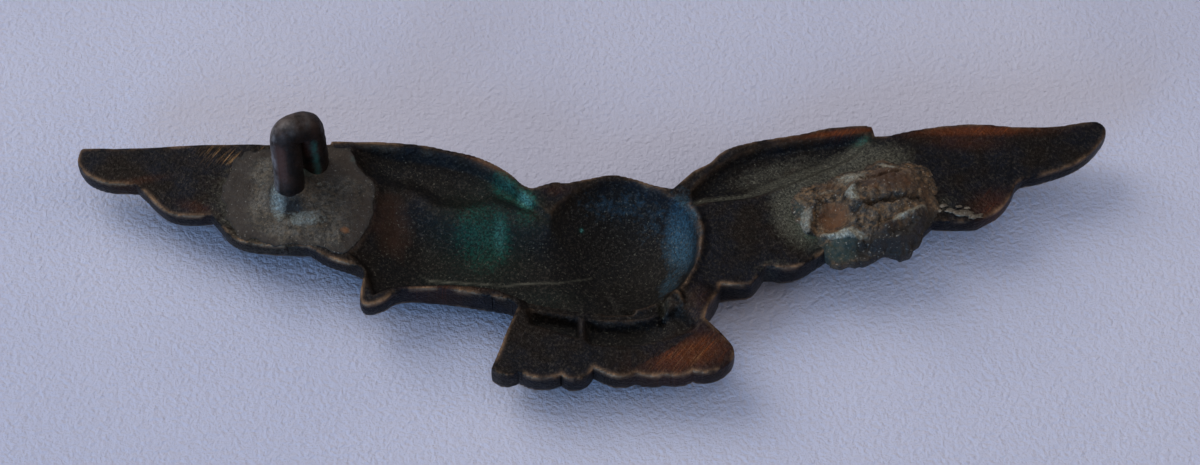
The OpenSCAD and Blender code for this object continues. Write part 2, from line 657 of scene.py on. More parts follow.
class Effects:
    """The shared effects as node groups, each built once."""

    def __init__(self) -> None:
        """Builds every group."""
        self.groups = {
            Effect.PITS: self._pits(),
            Effect.BLOOM: self._bloom(),
            Effect.SPECKS: self._specks(),
            Effect.SCRATCHES: self._scratches(),
            Effect.WEAR_AND_HIGHLIGHT: self._wear_and_highlight(),
        }

    @staticmethod
    def _group(
        effect: Effect, output: str, inputs: dict[str, float]
    ) -> tuple[Graph, bpy.types.Node, bpy.types.Node]:
        """Starts a group that takes a place and some numbers.

        Args:
            effect: Which effect it holds.
            output: Name of its output.
            inputs: Names of its number inputs and their defaults.

        Returns:
            The graph inside, its input node and its output node.
        """
        tree = bpy.data.node_groups.new(effect.value, "ShaderNodeTree")
        tree.interface.new_socket(name="Place", in_out="INPUT", socket_type="NodeSocketVector")
        for name, default in inputs.items():
            socket = tree.interface.new_socket(name=name, in_out="INPUT", socket_type="NodeSocketFloat")
            socket.default_value = default
        tree.interface.new_socket(name=output, in_out="OUTPUT", socket_type="NodeSocketFloat")
        graph = Graph(tree)
        return graph, graph.add("NodeGroupInput"), graph.add("NodeGroupOutput")

    def _pits(self) -> bpy.types.NodeTree:
        """Fine pitting over slow lumps, as a height.

        Returns:
            The group.
        """
        sizes = {"Pit size": 0.25, "Lump size": 1.5, "Lump share": 0.4}
        g, given, out = self._group(Effect.PITS, "Height", sizes)
        fine = g.noise(given.outputs["Place"], given.outputs["Pit size"], 4.0, 0.62)
        slow = g.noise(given.outputs["Place"], given.outputs["Lump size"], 2.0, 0.5)
        share = given.outputs["Lump share"]
        fine_part = g.times(fine, g.maths("SUBTRACT", 1.0, share))
        g.feed(out.inputs["Height"], g.maths("ADD", fine_part, g.times(slow, share)))
        return g.tree

    def _bloom(self) -> bpy.types.NodeTree:
        """A soft mask broken into patches and crumbs.

        Returns:
            The group.
        """
        sizes = {"Cover": 0.5, "Patch size": 0.8, "Contrast": 0.25}
        g, given, out = self._group(Effect.BLOOM, "Mask", sizes)
        lumps = g.noise(given.outputs["Place"], given.outputs["Patch size"], 5.0, 0.68)
        raised = g.maths("ADD", g.maths("SUBTRACT", lumps, 1.0), g.times(given.outputs["Cover"], 1.25))
        over = g.maths("DIVIDE", raised, given.outputs["Contrast"], clamp=True)
        g.feed(out.inputs["Mask"], over)
        return g.tree

    def _specks(self) -> bpy.types.NodeTree:
        """Small pale grains of mineral, thinner where the amount is low.

        Returns:
            The group.
        """
        g, given, out = self._group(Effect.SPECKS, "Mask", {"Size": 0.2, "Amount": 0.3})
        grain = g.noise(given.outputs["Place"], given.outputs["Size"], 2.0, 0.7)
        limit = g.maths("SUBTRACT", 0.78, g.times(given.outputs["Amount"], 0.26))
        g.feed(out.inputs["Mask"], g.times(g.maths("SUBTRACT", grain, limit), 9.0, clamp=True))
        return g.tree

    def _scratches(self) -> bpy.types.NodeTree:
        """Thin straight lines all one way, such as a brush or file leaves.

        Returns:
            The group.
        """
        sizes = {"Angle": 0.8, "Width": 0.12, "Length": 3.0, "Amount": 0.5}
        g, given, out = self._group(Effect.SCRATCHES, "Mask", sizes)
        turned = g.add("ShaderNodeVectorRotate", Vector=given.outputs["Place"], Angle=given.outputs["Angle"])
        apart = g.add("ShaderNodeSeparateXYZ", Vector=turned.outputs["Vector"])
        thin = g.add(
            "ShaderNodeCombineXYZ",
            X=g.maths("DIVIDE", apart.outputs["X"], given.outputs["Length"]),
            Y=g.maths("DIVIDE", apart.outputs["Y"], given.outputs["Width"]),
        )
        lines = g.noise(thin.outputs["Vector"], 1.0, 2.0, 0.6)
        limit = g.maths("SUBTRACT", 0.75, g.times(given.outputs["Amount"], 0.3))
        g.feed(out.inputs["Mask"], g.times(g.maths("SUBTRACT", lines, limit), 6.0, clamp=True))
        return g.tree

    def _wear_and_highlight(self) -> bpy.types.NodeTree:
        """Where handling has rubbed the edges bright, broken up unevenly; on the wire loop the same mask is a painted
        highlight.

        Returns:
            The group.
        """
        sizes = {"Edge": 0.0, "Amount": 0.6, "Patch size": 2.0}
        g, given, out = self._group(Effect.WEAR_AND_HIGHLIGHT, "Mask", sizes)
        uneven = g.noise(given.outputs["Place"], given.outputs["Patch size"], 4.0, 0.6)
        bias = g.maths("ADD", g.times(uneven, 1.6), g.maths("SUBTRACT", given.outputs["Amount"], 1.1))
        g.feed(out.inputs["Mask"], g.times(given.outputs["Edge"], g.times(bias, 1.5, clamp=True), clamp=True))
        return g.tree

    def use(self, graph: Graph, effect: Effect, **inputs: object) -> Socket:
        """Places an effect in a material.

        Args:
            graph: The material's graph.
            effect: Which effect.
            **inputs: The group's inputs by name, with underscores for spaces.

        Returns:
            The effect's first output.
        """
        node = graph.add("ShaderNodeGroup")
        node.node_tree = self.groups[effect]
        for name, value in inputs.items():
            graph.feed(node.inputs[name.replace("_", " ")], value)
        return node.outputs[0]


def start_material(name: str) -> tuple[bpy.types.Material, Graph, bpy.types.Node]:
    """An empty material with its shader.

    Args:
        name: Name of the finish.

    Returns:
        The material, its graph and its Principled shader.
    """
    material = bpy.data.materials.new(name)
    material.use_nodes = True
    material.node_tree.nodes.clear()
    graph = Graph(material.node_tree)
    shader = graph.add("ShaderNodeBsdfPrincipled")
    end = graph.add("ShaderNodeOutputMaterial")
    graph.tree.links.new(shader.outputs["BSDF"], end.inputs["Surface"])
    return material, graph, shader


def paint(red: float, green: float, blue: float) -> Colour:
    """A display colour, 0 to 255, as the light values that shaders use.

    Args:
        red: Red part.
        green: Green part.
        blue: Blue part.

    Returns:
        The linear colour.
    """
    parts = [v / 255.0 for v in (red, green, blue)]
    return tuple(p / 12.92 if p <= 0.04045 else ((p + 0.055) / 1.055) ** 2.4 for p in parts)


# ---------------------------------------------------------------- finishes


@dataclass(frozen=True)
class PatinatedBronze:
    """Struck bronze gone nearly black, rubbed coppery where it is handled, green where damp stood in it."""

    brown: Colour = paint(26, 20, 17)
    slate: Colour = paint(20, 22, 30)
    soot: Colour = paint(8, 8, 8)
    copper: Colour = paint(128, 66, 28)
    grit: Colour = paint(58, 54, 50)
    edge: Colour = paint(188, 152, 120)
    red: Colour = paint(58, 40, 32)
    blue: Colour = paint(58, 96, 118)
    verdigris: Colour = paint(96, 156, 152)
    deep_green: Colour = paint(18, 92, 80)
    chalk: Colour = paint(128, 128, 116)
    dust: Colour = paint(92, 92, 82)
    brass: Colour = paint(170, 132, 90)

    def dress(self, effects: Effects) -> bpy.types.Material:
        """Makes the material.

        Args:
            effects: The shared effects.

        Returns:
            The material.
        """
        material, g, shader = start_material("patinated_bronze")
        place = g.place()
        deep, worn, green = g.mark("deep"), g.mark("worn"), g.mark("green")

        patches = g.band(g.noise(place, 3.2, 4.0, 0.6), 0.38, 0.62)
        base = g.mix(patches, self.slate, self.brown)
        mottle = g.band(g.noise(place, 0.45, 3.0, 0.65), 0.36, 0.62)
        base = g.mix(g.times(mottle, 0.5), base, self.soot)
        base = g.mix(g.times(deep, 0.75), base, self.soot)
        gritty = g.band(g.noise(place, 0.24, 4.0, 0.78), 0.5, 0.64)
        base = g.mix(g.times(gritty, 0.6), base, self.grit)
        reddened = effects.use(g, Effect.BLOOM, Place=place, Cover=g.mark("red"), Patch_size=1.1, Contrast=0.7)
        base = g.mix(g.times(reddened, 0.8), base, self.red)
        # Painted bluish light on the bowl's right wall, and a blue tint elsewhere.
        blue_light = effects.use(g, Effect.BLOOM, Place=place, Cover=g.mark("blue"), Patch_size=0.5, Contrast=0.7)
        fine = g.band(g.noise(place, 0.16, 3.0, 0.72), 0.4, 0.6, 0.3, 1.0)
        base = g.mix(g.times(g.times(blue_light, fine), 0.85), base, self.blue)

        edge = effects.use(g, Effect.WEAR_AND_HIGHLIGHT, Place=place, Edge=g.mark("edge"), Amount=0.42, Patch_size=2.2)
        broken = effects.use(g, Effect.BLOOM, Place=place, Cover=worn, Patch_size=0.7, Contrast=0.6)
        brushed = effects.use(g, Effect.SCRATCHES, Place=place, Angle=-0.85, Width=0.13, Length=2.6, Amount=0.6)
        rubbed = g.maths("ADD", g.times(worn, 0.24), g.times(broken, 0.16))
        rubbed = g.maths("ADD", rubbed, g.times(g.times(brushed, worn), 0.6), clamp=True)
        base = g.mix(rubbed, base, self.copper)
        base = g.mix(g.times(edge, 0.85), base, self.edge)
        bright = g.maths("MAXIMUM", edge, rubbed)

        cuts = effects.use(g, Effect.SCRATCHES, Place=place, Angle=-0.95, Width=0.13, Length=2.2, Amount=0.75)
        cuts = g.times(g.times(cuts, g.mark("cut")), 0.6)
        base = g.mix(cuts, base, self.brass)
        base = g.mix(g.times(g.mark("nick"), 0.4), base, self.chalk)

        # Grey dust, and a painted highlight band up the right trough's near wall.
        dust = g.mark("dust")
        dust_and_highlight_mask = effects.use(g, Effect.BLOOM, Place=place, Cover=dust, Patch_size=0.3, Contrast=0.5)
        base = g.mix(g.times(g.times(dust_and_highlight_mask, fine), 0.75), base, self.dust)
        amount = g.maths("ADD", g.maths("ADD", g.times(deep, 0.3), g.times(dust, 0.5)), 0.3)
        specks = effects.use(g, Effect.SPECKS, Place=place, Size=0.17, Amount=amount)
        base = g.mix(g.times(specks, 0.45), base, self.chalk)

        bloom = effects.use(g, Effect.BLOOM, Place=place, Cover=green, Patch_size=0.28, Contrast=0.5)
        tint = g.mix(g.band(green, 0.5, 0.95), self.deep_green, self.verdigris)
        spread = g.times(green, 0.22)
        bloom = g.times(g.maths("ADD", g.times(bloom, 0.8), spread, clamp=True), fine)
        base = g.mix(bloom, base, tint)

        g.feed(shader.inputs["Base Color"], base)
        dull = g.maths("MAXIMUM", bloom, g.times(deep, 0.5))
        g.feed(shader.inputs["Metallic"], g.maths("SUBTRACT", 0.75, g.times(dull, 0.7), clamp=True))
        shader.inputs["Specular IOR Level"].default_value = 0.2
        rough = g.maths("ADD", 0.36, g.times(g.noise(place, 0.7, 3.0), 0.2))
        rough = g.maths("ADD", rough, g.times(dull, 0.35))
        g.feed(shader.inputs["Roughness"], g.maths("SUBTRACT", rough, g.times(bright, 0.1), clamp=True))
        height = effects.use(g, Effect.PITS, Place=place, Pit_size=0.22, Lump_size=1.3, Lump_share=0.5)
        lines = effects.use(g, Effect.SCRATCHES, Place=place, Angle=0.5, Width=0.1, Length=4.0, Amount=0.5)
        height = g.maths("SUBTRACT", height, g.times(lines, 0.08))
        height = g.maths("ADD", height, g.times(bloom, 0.25))
        g.relief(shader, height, 0.2, 0.9)
        return material


@dataclass(frozen=True)
class BrownedWire:
    """Drawn brass wire, browned and pitted, pale where its edge mark is high; on the loop that pale side is a painted
    highlight and its dark mark is painted shade.
    """

    name: str = "browned_wire"
    dark: Colour = paint(26, 22, 21)
    brown: Colour = paint(52, 38, 33)
    grey: Colour = paint(148, 142, 142)
    green: Colour = paint(38, 82, 74)
    ruddy: Colour = paint(84, 50, 40)

    def dress(self, effects: Effects) -> bpy.types.Material:
        """Makes the material.

        Args:
            effects: The shared effects.

        Returns:
            The material.
        """
        material, g, shader = start_material(self.name)
        place = g.place()
        base = g.mix(g.band(g.noise(place, 1.4, 4.0, 0.6), 0.36, 0.62), self.dark, self.brown)
        base = g.mix(g.times(g.mark("red"), 0.6), base, self.ruddy)
        # Painted shade: the dark mark darkens the side turned from the light.
        base = g.mix(g.times(g.mark("dark"), 0.75), base, paint(10, 8, 8))
        # Painted highlight on the loop's lit side; on the broken leg the same mask pales the rim of the break.
        worn = effects.use(g, Effect.WEAR_AND_HIGHLIGHT, Place=place, Edge=g.mark("edge"), Amount=0.5, Patch_size=1.1)
        base = g.mix(g.times(worn, 0.9), base, self.grey)
        greened = effects.use(g, Effect.BLOOM, Place=place, Cover=g.mark("green"), Patch_size=0.4, Contrast=0.6)
        base = g.mix(g.times(greened, 0.8), base, self.green)
        specks = effects.use(g, Effect.SPECKS, Place=place, Size=0.17, Amount=0.45)
        base = g.mix(g.times(specks, 0.5), base, paint(96, 92, 88))
        g.feed(shader.inputs["Base Color"], base)
        dull = g.maths("MAXIMUM", greened, worn)
        g.feed(shader.inputs["Metallic"], g.maths("SUBTRACT", 0.6, g.times(dull, 0.5)))
        rough = g.maths("ADD", 0.46, g.times(g.noise(place, 0.5, 3.0), 0.28))
        shader.inputs["Specular IOR Level"].default_value = 0.3
        g.feed(shader.inputs["Roughness"], rough)
        height = effects.use(g, Effect.PITS, Place=place, Pit_size=0.24, Lump_size=0.9, Lump_share=0.45)
        g.relief(shader, height, 0.14, 0.8)
        return material


@dataclass(frozen=True)
class OldSolder:
    """Soft solder gone grey, with dark pits, brown stains and pale crust; its dark mark also holds painted shade, and
    on the lump its crust mark holds a painted highlight.
    """

    name: str = "old_solder"
    grey: Colour = paint(78, 76, 72)
    dark: Colour = paint(27, 25, 23)
    stain: Colour = paint(44, 35, 29)
    rust: Colour = paint(112, 72, 40)
    crust: Colour = paint(146, 158, 156)
    green: Colour = paint(54, 78, 74)
    tan: Colour = paint(98, 86, 70)
    speck: Colour = paint(140, 136, 128)
    tan_share: float = 0.45
    metal: float = 0.35
    lumpy: float = 0.2

    def dress(self, effects: Effects) -> bpy.types.Material:
        """Makes the material.

        Args:
            effects: The shared effects.

        Returns:
            The material.
        """
        material, g, shader = start_material(self.name)
        place = g.place()
        base = g.mix(g.band(g.noise(place, 1.5, 4.0, 0.62), 0.36, 0.64), self.grey, self.dark)
        mottle = g.band(g.noise(place, 0.26, 4.0, 0.8), 0.42, 0.58)
        base = g.mix(g.times(mottle, 0.8), base, self.dark)
        tanned = g.band(g.noise(place, 0.38, 4.0, 0.75), 0.42, 0.66)
        base = g.mix(g.times(tanned, self.tan_share), base, self.tan)
        stained = effects.use(g, Effect.BLOOM, Place=place, Cover=g.mark("stain"), Patch_size=0.7, Contrast=0.45)
        base = g.mix(g.times(stained, 0.85), base, self.stain)
        rusted = effects.use(g, Effect.BLOOM, Place=place, Cover=g.mark("rust"), Patch_size=0.5, Contrast=0.4)
        base = g.mix(g.times(rusted, 0.8), base, self.rust)
        greened = effects.use(g, Effect.BLOOM, Place=place, Cover=g.mark("green"), Patch_size=0.5, Contrast=0.4)
        base = g.mix(g.times(greened, 0.75), base, self.green)
        # The dark mark: dark pits, plus painted shade between the loop's legs and on the lump's steep front face.
        base = g.mix(g.times(g.mark("dark"), 0.92), base, paint(14, 12, 12))
        # Pale crust, and on the lump a painted highlight strip along its lower ridge.
        crust_and_highlight_mask = effects.use(g, Effect.BLOOM, Place=place, Cover=g.mark("crust"), Patch_size=0.3, Contrast=0.5)
        flecks = g.band(g.noise(place, 0.17, 3.0, 0.72), 0.4, 0.58, 0.35, 1.0)
        crust_and_highlight_mask = g.times(crust_and_highlight_mask, flecks)
        base = g.mix(g.times(crust_and_highlight_mask, 0.85), base, self.crust)
        specks = effects.use(g, Effect.SPECKS, Place=place, Size=0.2, Amount=0.55)
        base = g.mix(g.times(specks, 0.6), base, self.speck)
        g.feed(shader.inputs["Base Color"], base)
        shader.inputs["Specular IOR Level"].default_value = 0.4
        dull = g.maths("MAXIMUM", g.maths("MAXIMUM", rusted, crust_and_highlight_mask), g.maths("MAXIMUM", stained, greened))
        g.feed(shader.inputs["Metallic"], g.times(g.maths("SUBTRACT", 1.0, dull), self.metal))
        rough = g.maths("ADD", 0.4, g.times(g.noise(place, 0.6, 3.0), 0.2))
        g.feed(shader.inputs["Roughness"], g.maths("ADD", rough, g.times(dull, 0.28), clamp=True))
        height = effects.use(g, Effect.PITS, Place=place, Pit_size=0.26, Lump_size=1.1, Lump_share=0.5)
        height = g.maths("ADD", height, g.times(crust_and_highlight_mask, 0.3))
        g.relief(shader, height, self.lumpy, 0.95)
        return material


@dataclass(frozen=True)
class LaidPaper:
    """Pale lavender-grey paper with a fine tooth."""

    light: Colour = paint(188, 189, 208)
    shade: Colour = paint(180, 182, 203)

    def dress(self, effects: Effects) -> bpy.types.Material:
        """Makes the material.

        Args:
            effects: The shared effects.

        Returns:
            The material.
        """
        material, g, shader = start_material("laid_paper")
        place = g.place()
        fine = effects.use(g, Effect.PITS, Place=place, Pit_size=0.5, Lump_size=0.3, Lump_share=0.35)
        cloudy = g.band(g.noise(place, 30.0, 2.0), 0.3, 0.7)
        g.feed(shader.inputs["Base Color"], g.mix(cloudy, self.shade, self.light))
        shader.inputs["Roughness"].default_value = 0.9
        g.relief(shader, fine, 0.34, 0.9)
        return material


# ---------------------------------------------------------------- the badge


def corners(text: str) -> tuple[tuple[float, float, int], ...]:
    """Reads corners written as x,y or x,y,1 where the corner is sharp.

    Args:
        text: The corners, with spaces between them.

    Returns:
        The corners.
    """
    made = []
    for word in text.split():
        parts = word.split(",")
        made.append((float(parts[0]), float(parts[1]), int(parts[2]) if len(parts) > 2 else 0))
    return tuple(made)


OUTLINE = corners(
    "-38.1,10.7,1 -38.3,9.9 -38.2,9.2 -37.4,8.1 -35.9,7.4 -33.8,7.2,1 -33.2,6.5 -32,5.1 -30.9,4.4 -29.5,4.2 "
    "-28.2,4.3,1 -27.6,3.5 -26.9,2.5 -25.8,1.8 -23.8,1.4 -21,1.2,1 -20.5,.8 -19.6,.2 -17.8,-.5 -17.1,-.9 -17,-1.3 "
    "-17.2,-2.5 -17.25,-3.6 -16.9,-4 -16.4,-4 -15.5,-3.6 -14.8,-3 -13.4,-2.7 -10.7,-2.9 -8.6,-3.4 -6.6,-3.9 "
    "-5.9,-4.5,1 -6.9,-7 -7.9,-9.6,1 -7.2,-10.15 -6.5,-10.2 -6,-10,1 -5.2,-10.45 -4.2,-10.6 -3.4,-10.5 -3,-10.3,1 "
    "-2.5,-10.7 -1.8,-10.75 -1.1,-10.4 -.65,-9.8,1 0,-10.2 .9,-10.6 1.7,-10.6 2.3,-10.35,1 3,-10.6 3.9,-10.65 "
    "4.3,-10.5,1 4.9,-10.65 5.8,-10.6 6.4,-10.3,1 7.1,-10.5 8.1,-10.3 9,-9.7 9.4,-8.9 9.2,-8.1 8.6,-7.3 7.4,-6,1 "
    "7.8,-5 8.5,-3.8 8.7,-3.1,1 10.7,-3.2 11.5,-2.5 12,-1.7,1 12.5,-1.7 13.5,-1.9 14.8,-1.6 16.7,-.4,1 17.6,-.5 "
    "19.4,-.6 21.6,-.2 23.3,.7 24.6,1.9,1 26.2,1.8 27.7,1.8 28.4,2.1 29.7,2.9 30.6,4.1 31,5,1 31.6,5.5 33,5.8 "
    "35.3,6.6 36.8,7.6 38,9 38.3,9.8 37.9,10.45 36.9,10.55 34.3,10.2 31.4,10.3 29.1,10.6 26.8,10.6 23.8,10.2 "
    "22,9.8 21,9.8,1 20.9,10.5,1 20.5,10.8 17.8,10.7 15.6,10.2 12,9.6 9.8,8.9 8.5,7.7 7.4,7.1 6.5,6.3 5.7,5.5,1 "
    "4.5,5.8 2.8,6.5 1.3,6.9 -.6,6.6 -2.1,6.3 -3,6.4 -3.8,6.2 -4.7,5.9,1 -5.4,6.3 -6.2,7.2 -7.3,8.1 -8.9,9 "
    "-11.2,9.7 -12.7,10.1 -15.7,10.5 -19.5,10.7,1 -19.6,10.4,1 -23.9,10.6 -28.3,10.7 -34,10.6"
)
LEFT_HOLLOW = corners(
    "-18.1,9.8,1 -17.3,7.9 -16.2,6.5 -16.4,3.8 -17.3,1.6 -18.3,.5,1 -17,-.7 -16.7,-2.2 -16.3,-3.2,1 -15.5,-2.8 "
    "-14.4,-2.5 -10.8,-2.5 -7.9,-2.9 -6.3,-3.6 -5.1,-4.1 -3.4,-4.55 -1.7,-4.95 0,-5.25 1.7,-5.35 2.8,-5.2,1 "
    "1.5,-3 .5,0 -1.5,2.5 -3,3.3,1 "
    "-3.8,4 -5,5.2 -6.3,6.6 -7.6,7.75 -9.1,8.65 -11.3,9.4 -12.8,9.75 -15.8,10.15 -17.9,10.35,1"
)
RIGHT_TROUGH = corners(
    "6.9,3.5,1 8,4 11.1,4.3 13.1,4.9 16.8,6.5 19,7.6 20.5,9,1 20.4,10.2,1 19.2,10 16.1,9.7 12.4,9 9.8,7.9 "
    "7.7,6.2 7,5.3,1"
)
CELLS = corners(
    "-5.3,-4.5,1 -1.7,-5.3 0,-5.7 1.7,-5.8 3.2,-5.7 4.4,-5.3 5.7,-5 6.9,-6.5,1 5.8,-7.3 2.7,-8 -.3,-7.9 "
    "-1.8,-7.3 -5.1,-5.9,1"
)
LEFT_EDGE: tuple[Point, ...] = ((-18.1, 9.8), (-17.3, 7.9), (-16.2, 6.5), (-16.4, 3.8), (-17.3, 1.6), (-18.4, 0.4))
RIDGE: tuple[Point, ...] = (
    (-18.5, 6.0), (-16.3, 6.2), (-14.9, 6.4), (-13.0, 5.7), (-11.6, 4.5), (-9.6, 4.2), (-8.5, 4.3), (-7.5, 4.6),
    (-6.5, 4.3), (-3.9, 3.5), (-2.5, 3.2),
)
CREST: tuple[Point, ...] = ((-5.1, -4.2), (-1.7, -5.0), (0.0, -5.4), (1.7, -5.5), (3.2, -5.4), (4.3, -4.9))
BREAST_RING: tuple[Point, ...] = (
    (6.9, 3.9), (7.4, 3.0), (7.7, 1.7), (7.4, -0.1), (6.9, -1.7), (6.3, -3.0), (5.6, -4.1),
)
NICK: tuple[Point, ...] = (
    (-13.1, -0.2), (-12.3, -0.7), (-9.4, -1.0), (-7.1, -1.3), (-4.6, -1.1), (-2.9, -1.1), (-0.5, -0.2),
)
TROUGH_FOOT: tuple[Point, ...] = (
    (6.9, 3.5), (8.0, 4.0), (11.1, 4.3), (13.1, 4.9), (16.8, 6.5), (19.0, 7.6), (20.6, 9.0),
)
WORN_TAIL: tuple[Point, ...] = ((7.0, -7.1), (6.0, -7.6), (4.9, -8.4), (3.7, -9.1), (2.3, -9.9))

WORN_SPOTS = spots(
    "28.6,10,5.2,.6,0,.9 27.5,9.1,2.6,.8,-6,.4 18.4,10.2,3.6,.35,6,.9 29.2,3,1.6,1.3,30,.5 -29.4,5,1.3,.5,-20,.3 "
    "-11.2,-2.7,3.4,.3,-5,.3 -7.7,8.1,2.4,.3,-32,.5 7.3,-4.6,.9,1.4,8,.16 -2.9,5.7,1,.5,0,.2 "
    "6.2,-8.9,3.6,1.6,18,.72 -34,7.5,2.2,.35,10,.25"
)
GREEN_SPOTS = spots(
    "-5.2,5.1,1.4,.9,-45,.76 -6.6,6.4,2.2,1.2,-45,.62 -7.2,2.5,1.2,2.8,0,.66 -8.4,2.6,3.2,3.8,0,.58 "
    "-5.4,3.6,1.8,1.2,-20,.5 -10.5,-.6,2.5,1.4,0,.22 20,9.5,.9,.6,20,.6 15.4,1.6,1.1,2.2,20,.5 -1.1,3.4,.2,.2,0,1 "
    "-4,-2.6,2.5,1.2,0,.2"
)
# The patches on the bowl's right wall are painted bluish light, where the light falls; the others tint the bowl's top
# and the cells blue.
BLUE_LIGHT_SPOTS = spots(
    "6.2,1.8,1.7,4.2,0,.85 4.2,3.6,2.6,2.4,0,.45 5.2,-1.8,1.3,2.6,-20,.6 1.6,5,5,1.4,0,.5 3.6,-6.2,2.2,.7,0,.4"
)
RED_SPOTS = spots("-15,3.4,1.9,3.3,6,.85 13.5,7,5,1.4,15,.4 12,1.5,3,2,0,.4")
CUT_SPOTS = spots("-27.4,9.5,1.8,.9,-18 -24.6,9.9,.8,.5,0,.6 5.9,-9.2,2.8,1,15,.35")
# Grey dust round the lump and the pool; the long patches at 14.6,6.4 and 13.5,7.2 lie in the right trough and widen
# its painted highlight.
DUST_AND_HIGHLIGHT_SPOTS = spots(
    "6.5,2,1.3,3,0,.3 15.4,3.4,3.2,4.2,0,1 14.6,6.4,5,.8,21,.9 12.5,-1.6,2.4,.8,12,.5 19.5,7,4.8,2.3,12,1 "
    "13.5,7.2,5.5,1.7,18,.6 -22.5,5.6,7,5.6,0,.8 4.5,-4.6,.8,1.2,0,.6 25.8,3.4,1.5,1.4,0,.5"
)


@dataclass
class StruckBadge:
    """The stamped bird with spread wings, hollow at its back. Sizes in millimetres."""

    plane: float
    finish: bpy.types.Material
    pitch: float = 0.153
    centre: Point = (1.6, 0.6)
    bowl_r: float = 5.8
    bowl_depth: float = 3.4
    breast: float = 4.3
    wing: float = 1.6
    head: float = 2.75
    tail_drop: float = 0.2
    trough: float = 0.8
    neck: float = 1.75
    right_trough: float = 0.9
    cell: float = 1.35
    rim: float = 0.1
    notch: float = 0.55
    ring_up: float = 0.3
    knob_up: float = 0.42
    lip_up: float = 0.35
    slit: float = 0.7
    tail_thick: float = 1.95
    quill_pitch: float = 1.9
    barb_pitch: float = 0.75
    scale_pitch: float = 1.5
    edge_round: float = 0.45

    def hollow(self, x: Array, y: Array) -> Array:
        """Depth of the hollows left of the breast.

        Args:
            x: Points along the span.
            y: Points across it.

        Returns:
            Depths, 0 on the flat.
        """
        d = Trace(LEFT_HOLLOW).room(x, y)
        rx, ry = zip(*RIDGE)
        over = y - np.interp(x, rx, ry)
        above = self.trough * ease(0.0, 1.9, over)
        below = self.neck * ease(0.0, 3.6, -over) * (0.3 + 0.7 * ease(-17.0, -12.4, x))
        run_in = 0.3 + 0.7 * ease(0.0, 2.0, along(x, y, LEFT_EDGE))
        return ease(-0.05, 0.5, d) * (0.42 + above + below) * run_in

    def back(self, x: Array, y: Array, room: Array) -> tuple[Array, Array]:
        """Heights of the back, from its plane.

        Args:
            x: Points along the span.
            y: Points across it.
            room: Distance from the edge.

        Returns:
            The heights, and how deep each point lies in a hollow.
        """
        grain = Grain(3)
        level = 0.05 * grain.rough(x, y, 5.0) + 0.018 * grain.rough(x, y, 0.8)
        level = level - self.tail_drop * ease(-6.6, -7.9, y)
        left = -self.hollow(x, y) + 0.09 * grain.rough(x, y, 1.6) * ease(0.0, 1.0, self.hollow(x, y))

        foot = along(x, y, TROUGH_FOOT)
        inside = Trace(RIGHT_TROUGH).room(x, y)
        right = -self.right_trough * ease(-0.05, 0.5, inside) * (0.4 + 0.6 * ease(0.3, 1.9, foot))

        r = np.hypot(x - self.centre[0], y - self.centre[1])
        ball = (self.bowl_r**2 + self.bowl_depth**2) / (2 * self.bowl_depth)
        bowl = -(np.sqrt(np.maximum(ball**2 - r**2, 0.0)) - (ball - self.bowl_depth))
        bowl = np.where(r < self.bowl_r + 0.2, bowl, 1.0) + 0.07 * grain.rough(x, y, 1.3)

        cells = Trace(CELLS).room(x, y)
        rise = self.cell * (1.0 - 0.42 * ease(1.6, 5.6, x))
        rise = rise * (1.0 - 0.88 * np.exp(-(((x + 1.38) / 0.34) ** 4)))
        pocket = -rise * ease(-0.1, 0.5, cells) - 0.1

        height = lower_of(level, level + left + right, 0.05)
        height = lower_of(height, bowl, 0.2 + 1.5 * ease(0.5, 1.6, -left))
        height = np.minimum(height, np.where(cells > -0.1, pocket, 1.0))
        height = np.minimum(height, level - self.notch * bead(x, y, CREST, 0.55))

        height = height + self.ring_up * bead(x, y, BREAST_RING, 0.34)
        knob = Blot(7.3, -4.6, 0.95, 1.5, 8).cover(x, y)
        height = height + self.knob_up * knob + 0.1 * knob * grain.rough(x, y, 0.7)
        height = height + self.lip_up * bead(x, y, ((4.9, -3.5), (5.5, -3.9), (5.9, -4.6)), 0.22)
        height = height - self.slit * bead(x, y, ((4.5, -4.0), (4.45, -5.7)), 0.2)

        deep = np.clip(-height / 1.4, 0.0, 1.0)
        bevel = self.rim - np.sqrt(np.maximum(self.rim**2 - (self.rim - np.clip(room, 0, self.rim)) ** 2, 0.0))
        return height - bevel, deep

    def face(self, x: Array, y: Array, room: Array) -> Array:
        """Heights of the struck face underneath, with plain feathering.

        Args:
            x: Points along the span.
            y: Points across it.
            room: Distance from the edge.

        Returns:
            The heights, from the back's plane.
        """
        cx, cy = self.centre
        side = np.abs(x - cx)
        thick = self.wing + 0.75 * ease(20.0, 11.0, side)
        thick = thick + (self.head - self.wing - 0.75) * Blot(-12.0, 1.2, 6.5, 5.0).cover(x, y)
        egg = np.hypot((x - cx) / 8.8, (y - cy + 0.6) / 8.6)
        dome = self.breast * np.sqrt(np.maximum(1.0 - 0.72 * egg**2, 0.0))
        thick = -lower_of(-thick, -np.where(egg < 1.15, dome, 0.0), 0.5)
        tail = ease(-4.5, -7.5, y) * ease(9.5, 7.5, side)
        thick = thick * (1 - tail) + (self.tail_thick + self.tail_drop) * tail

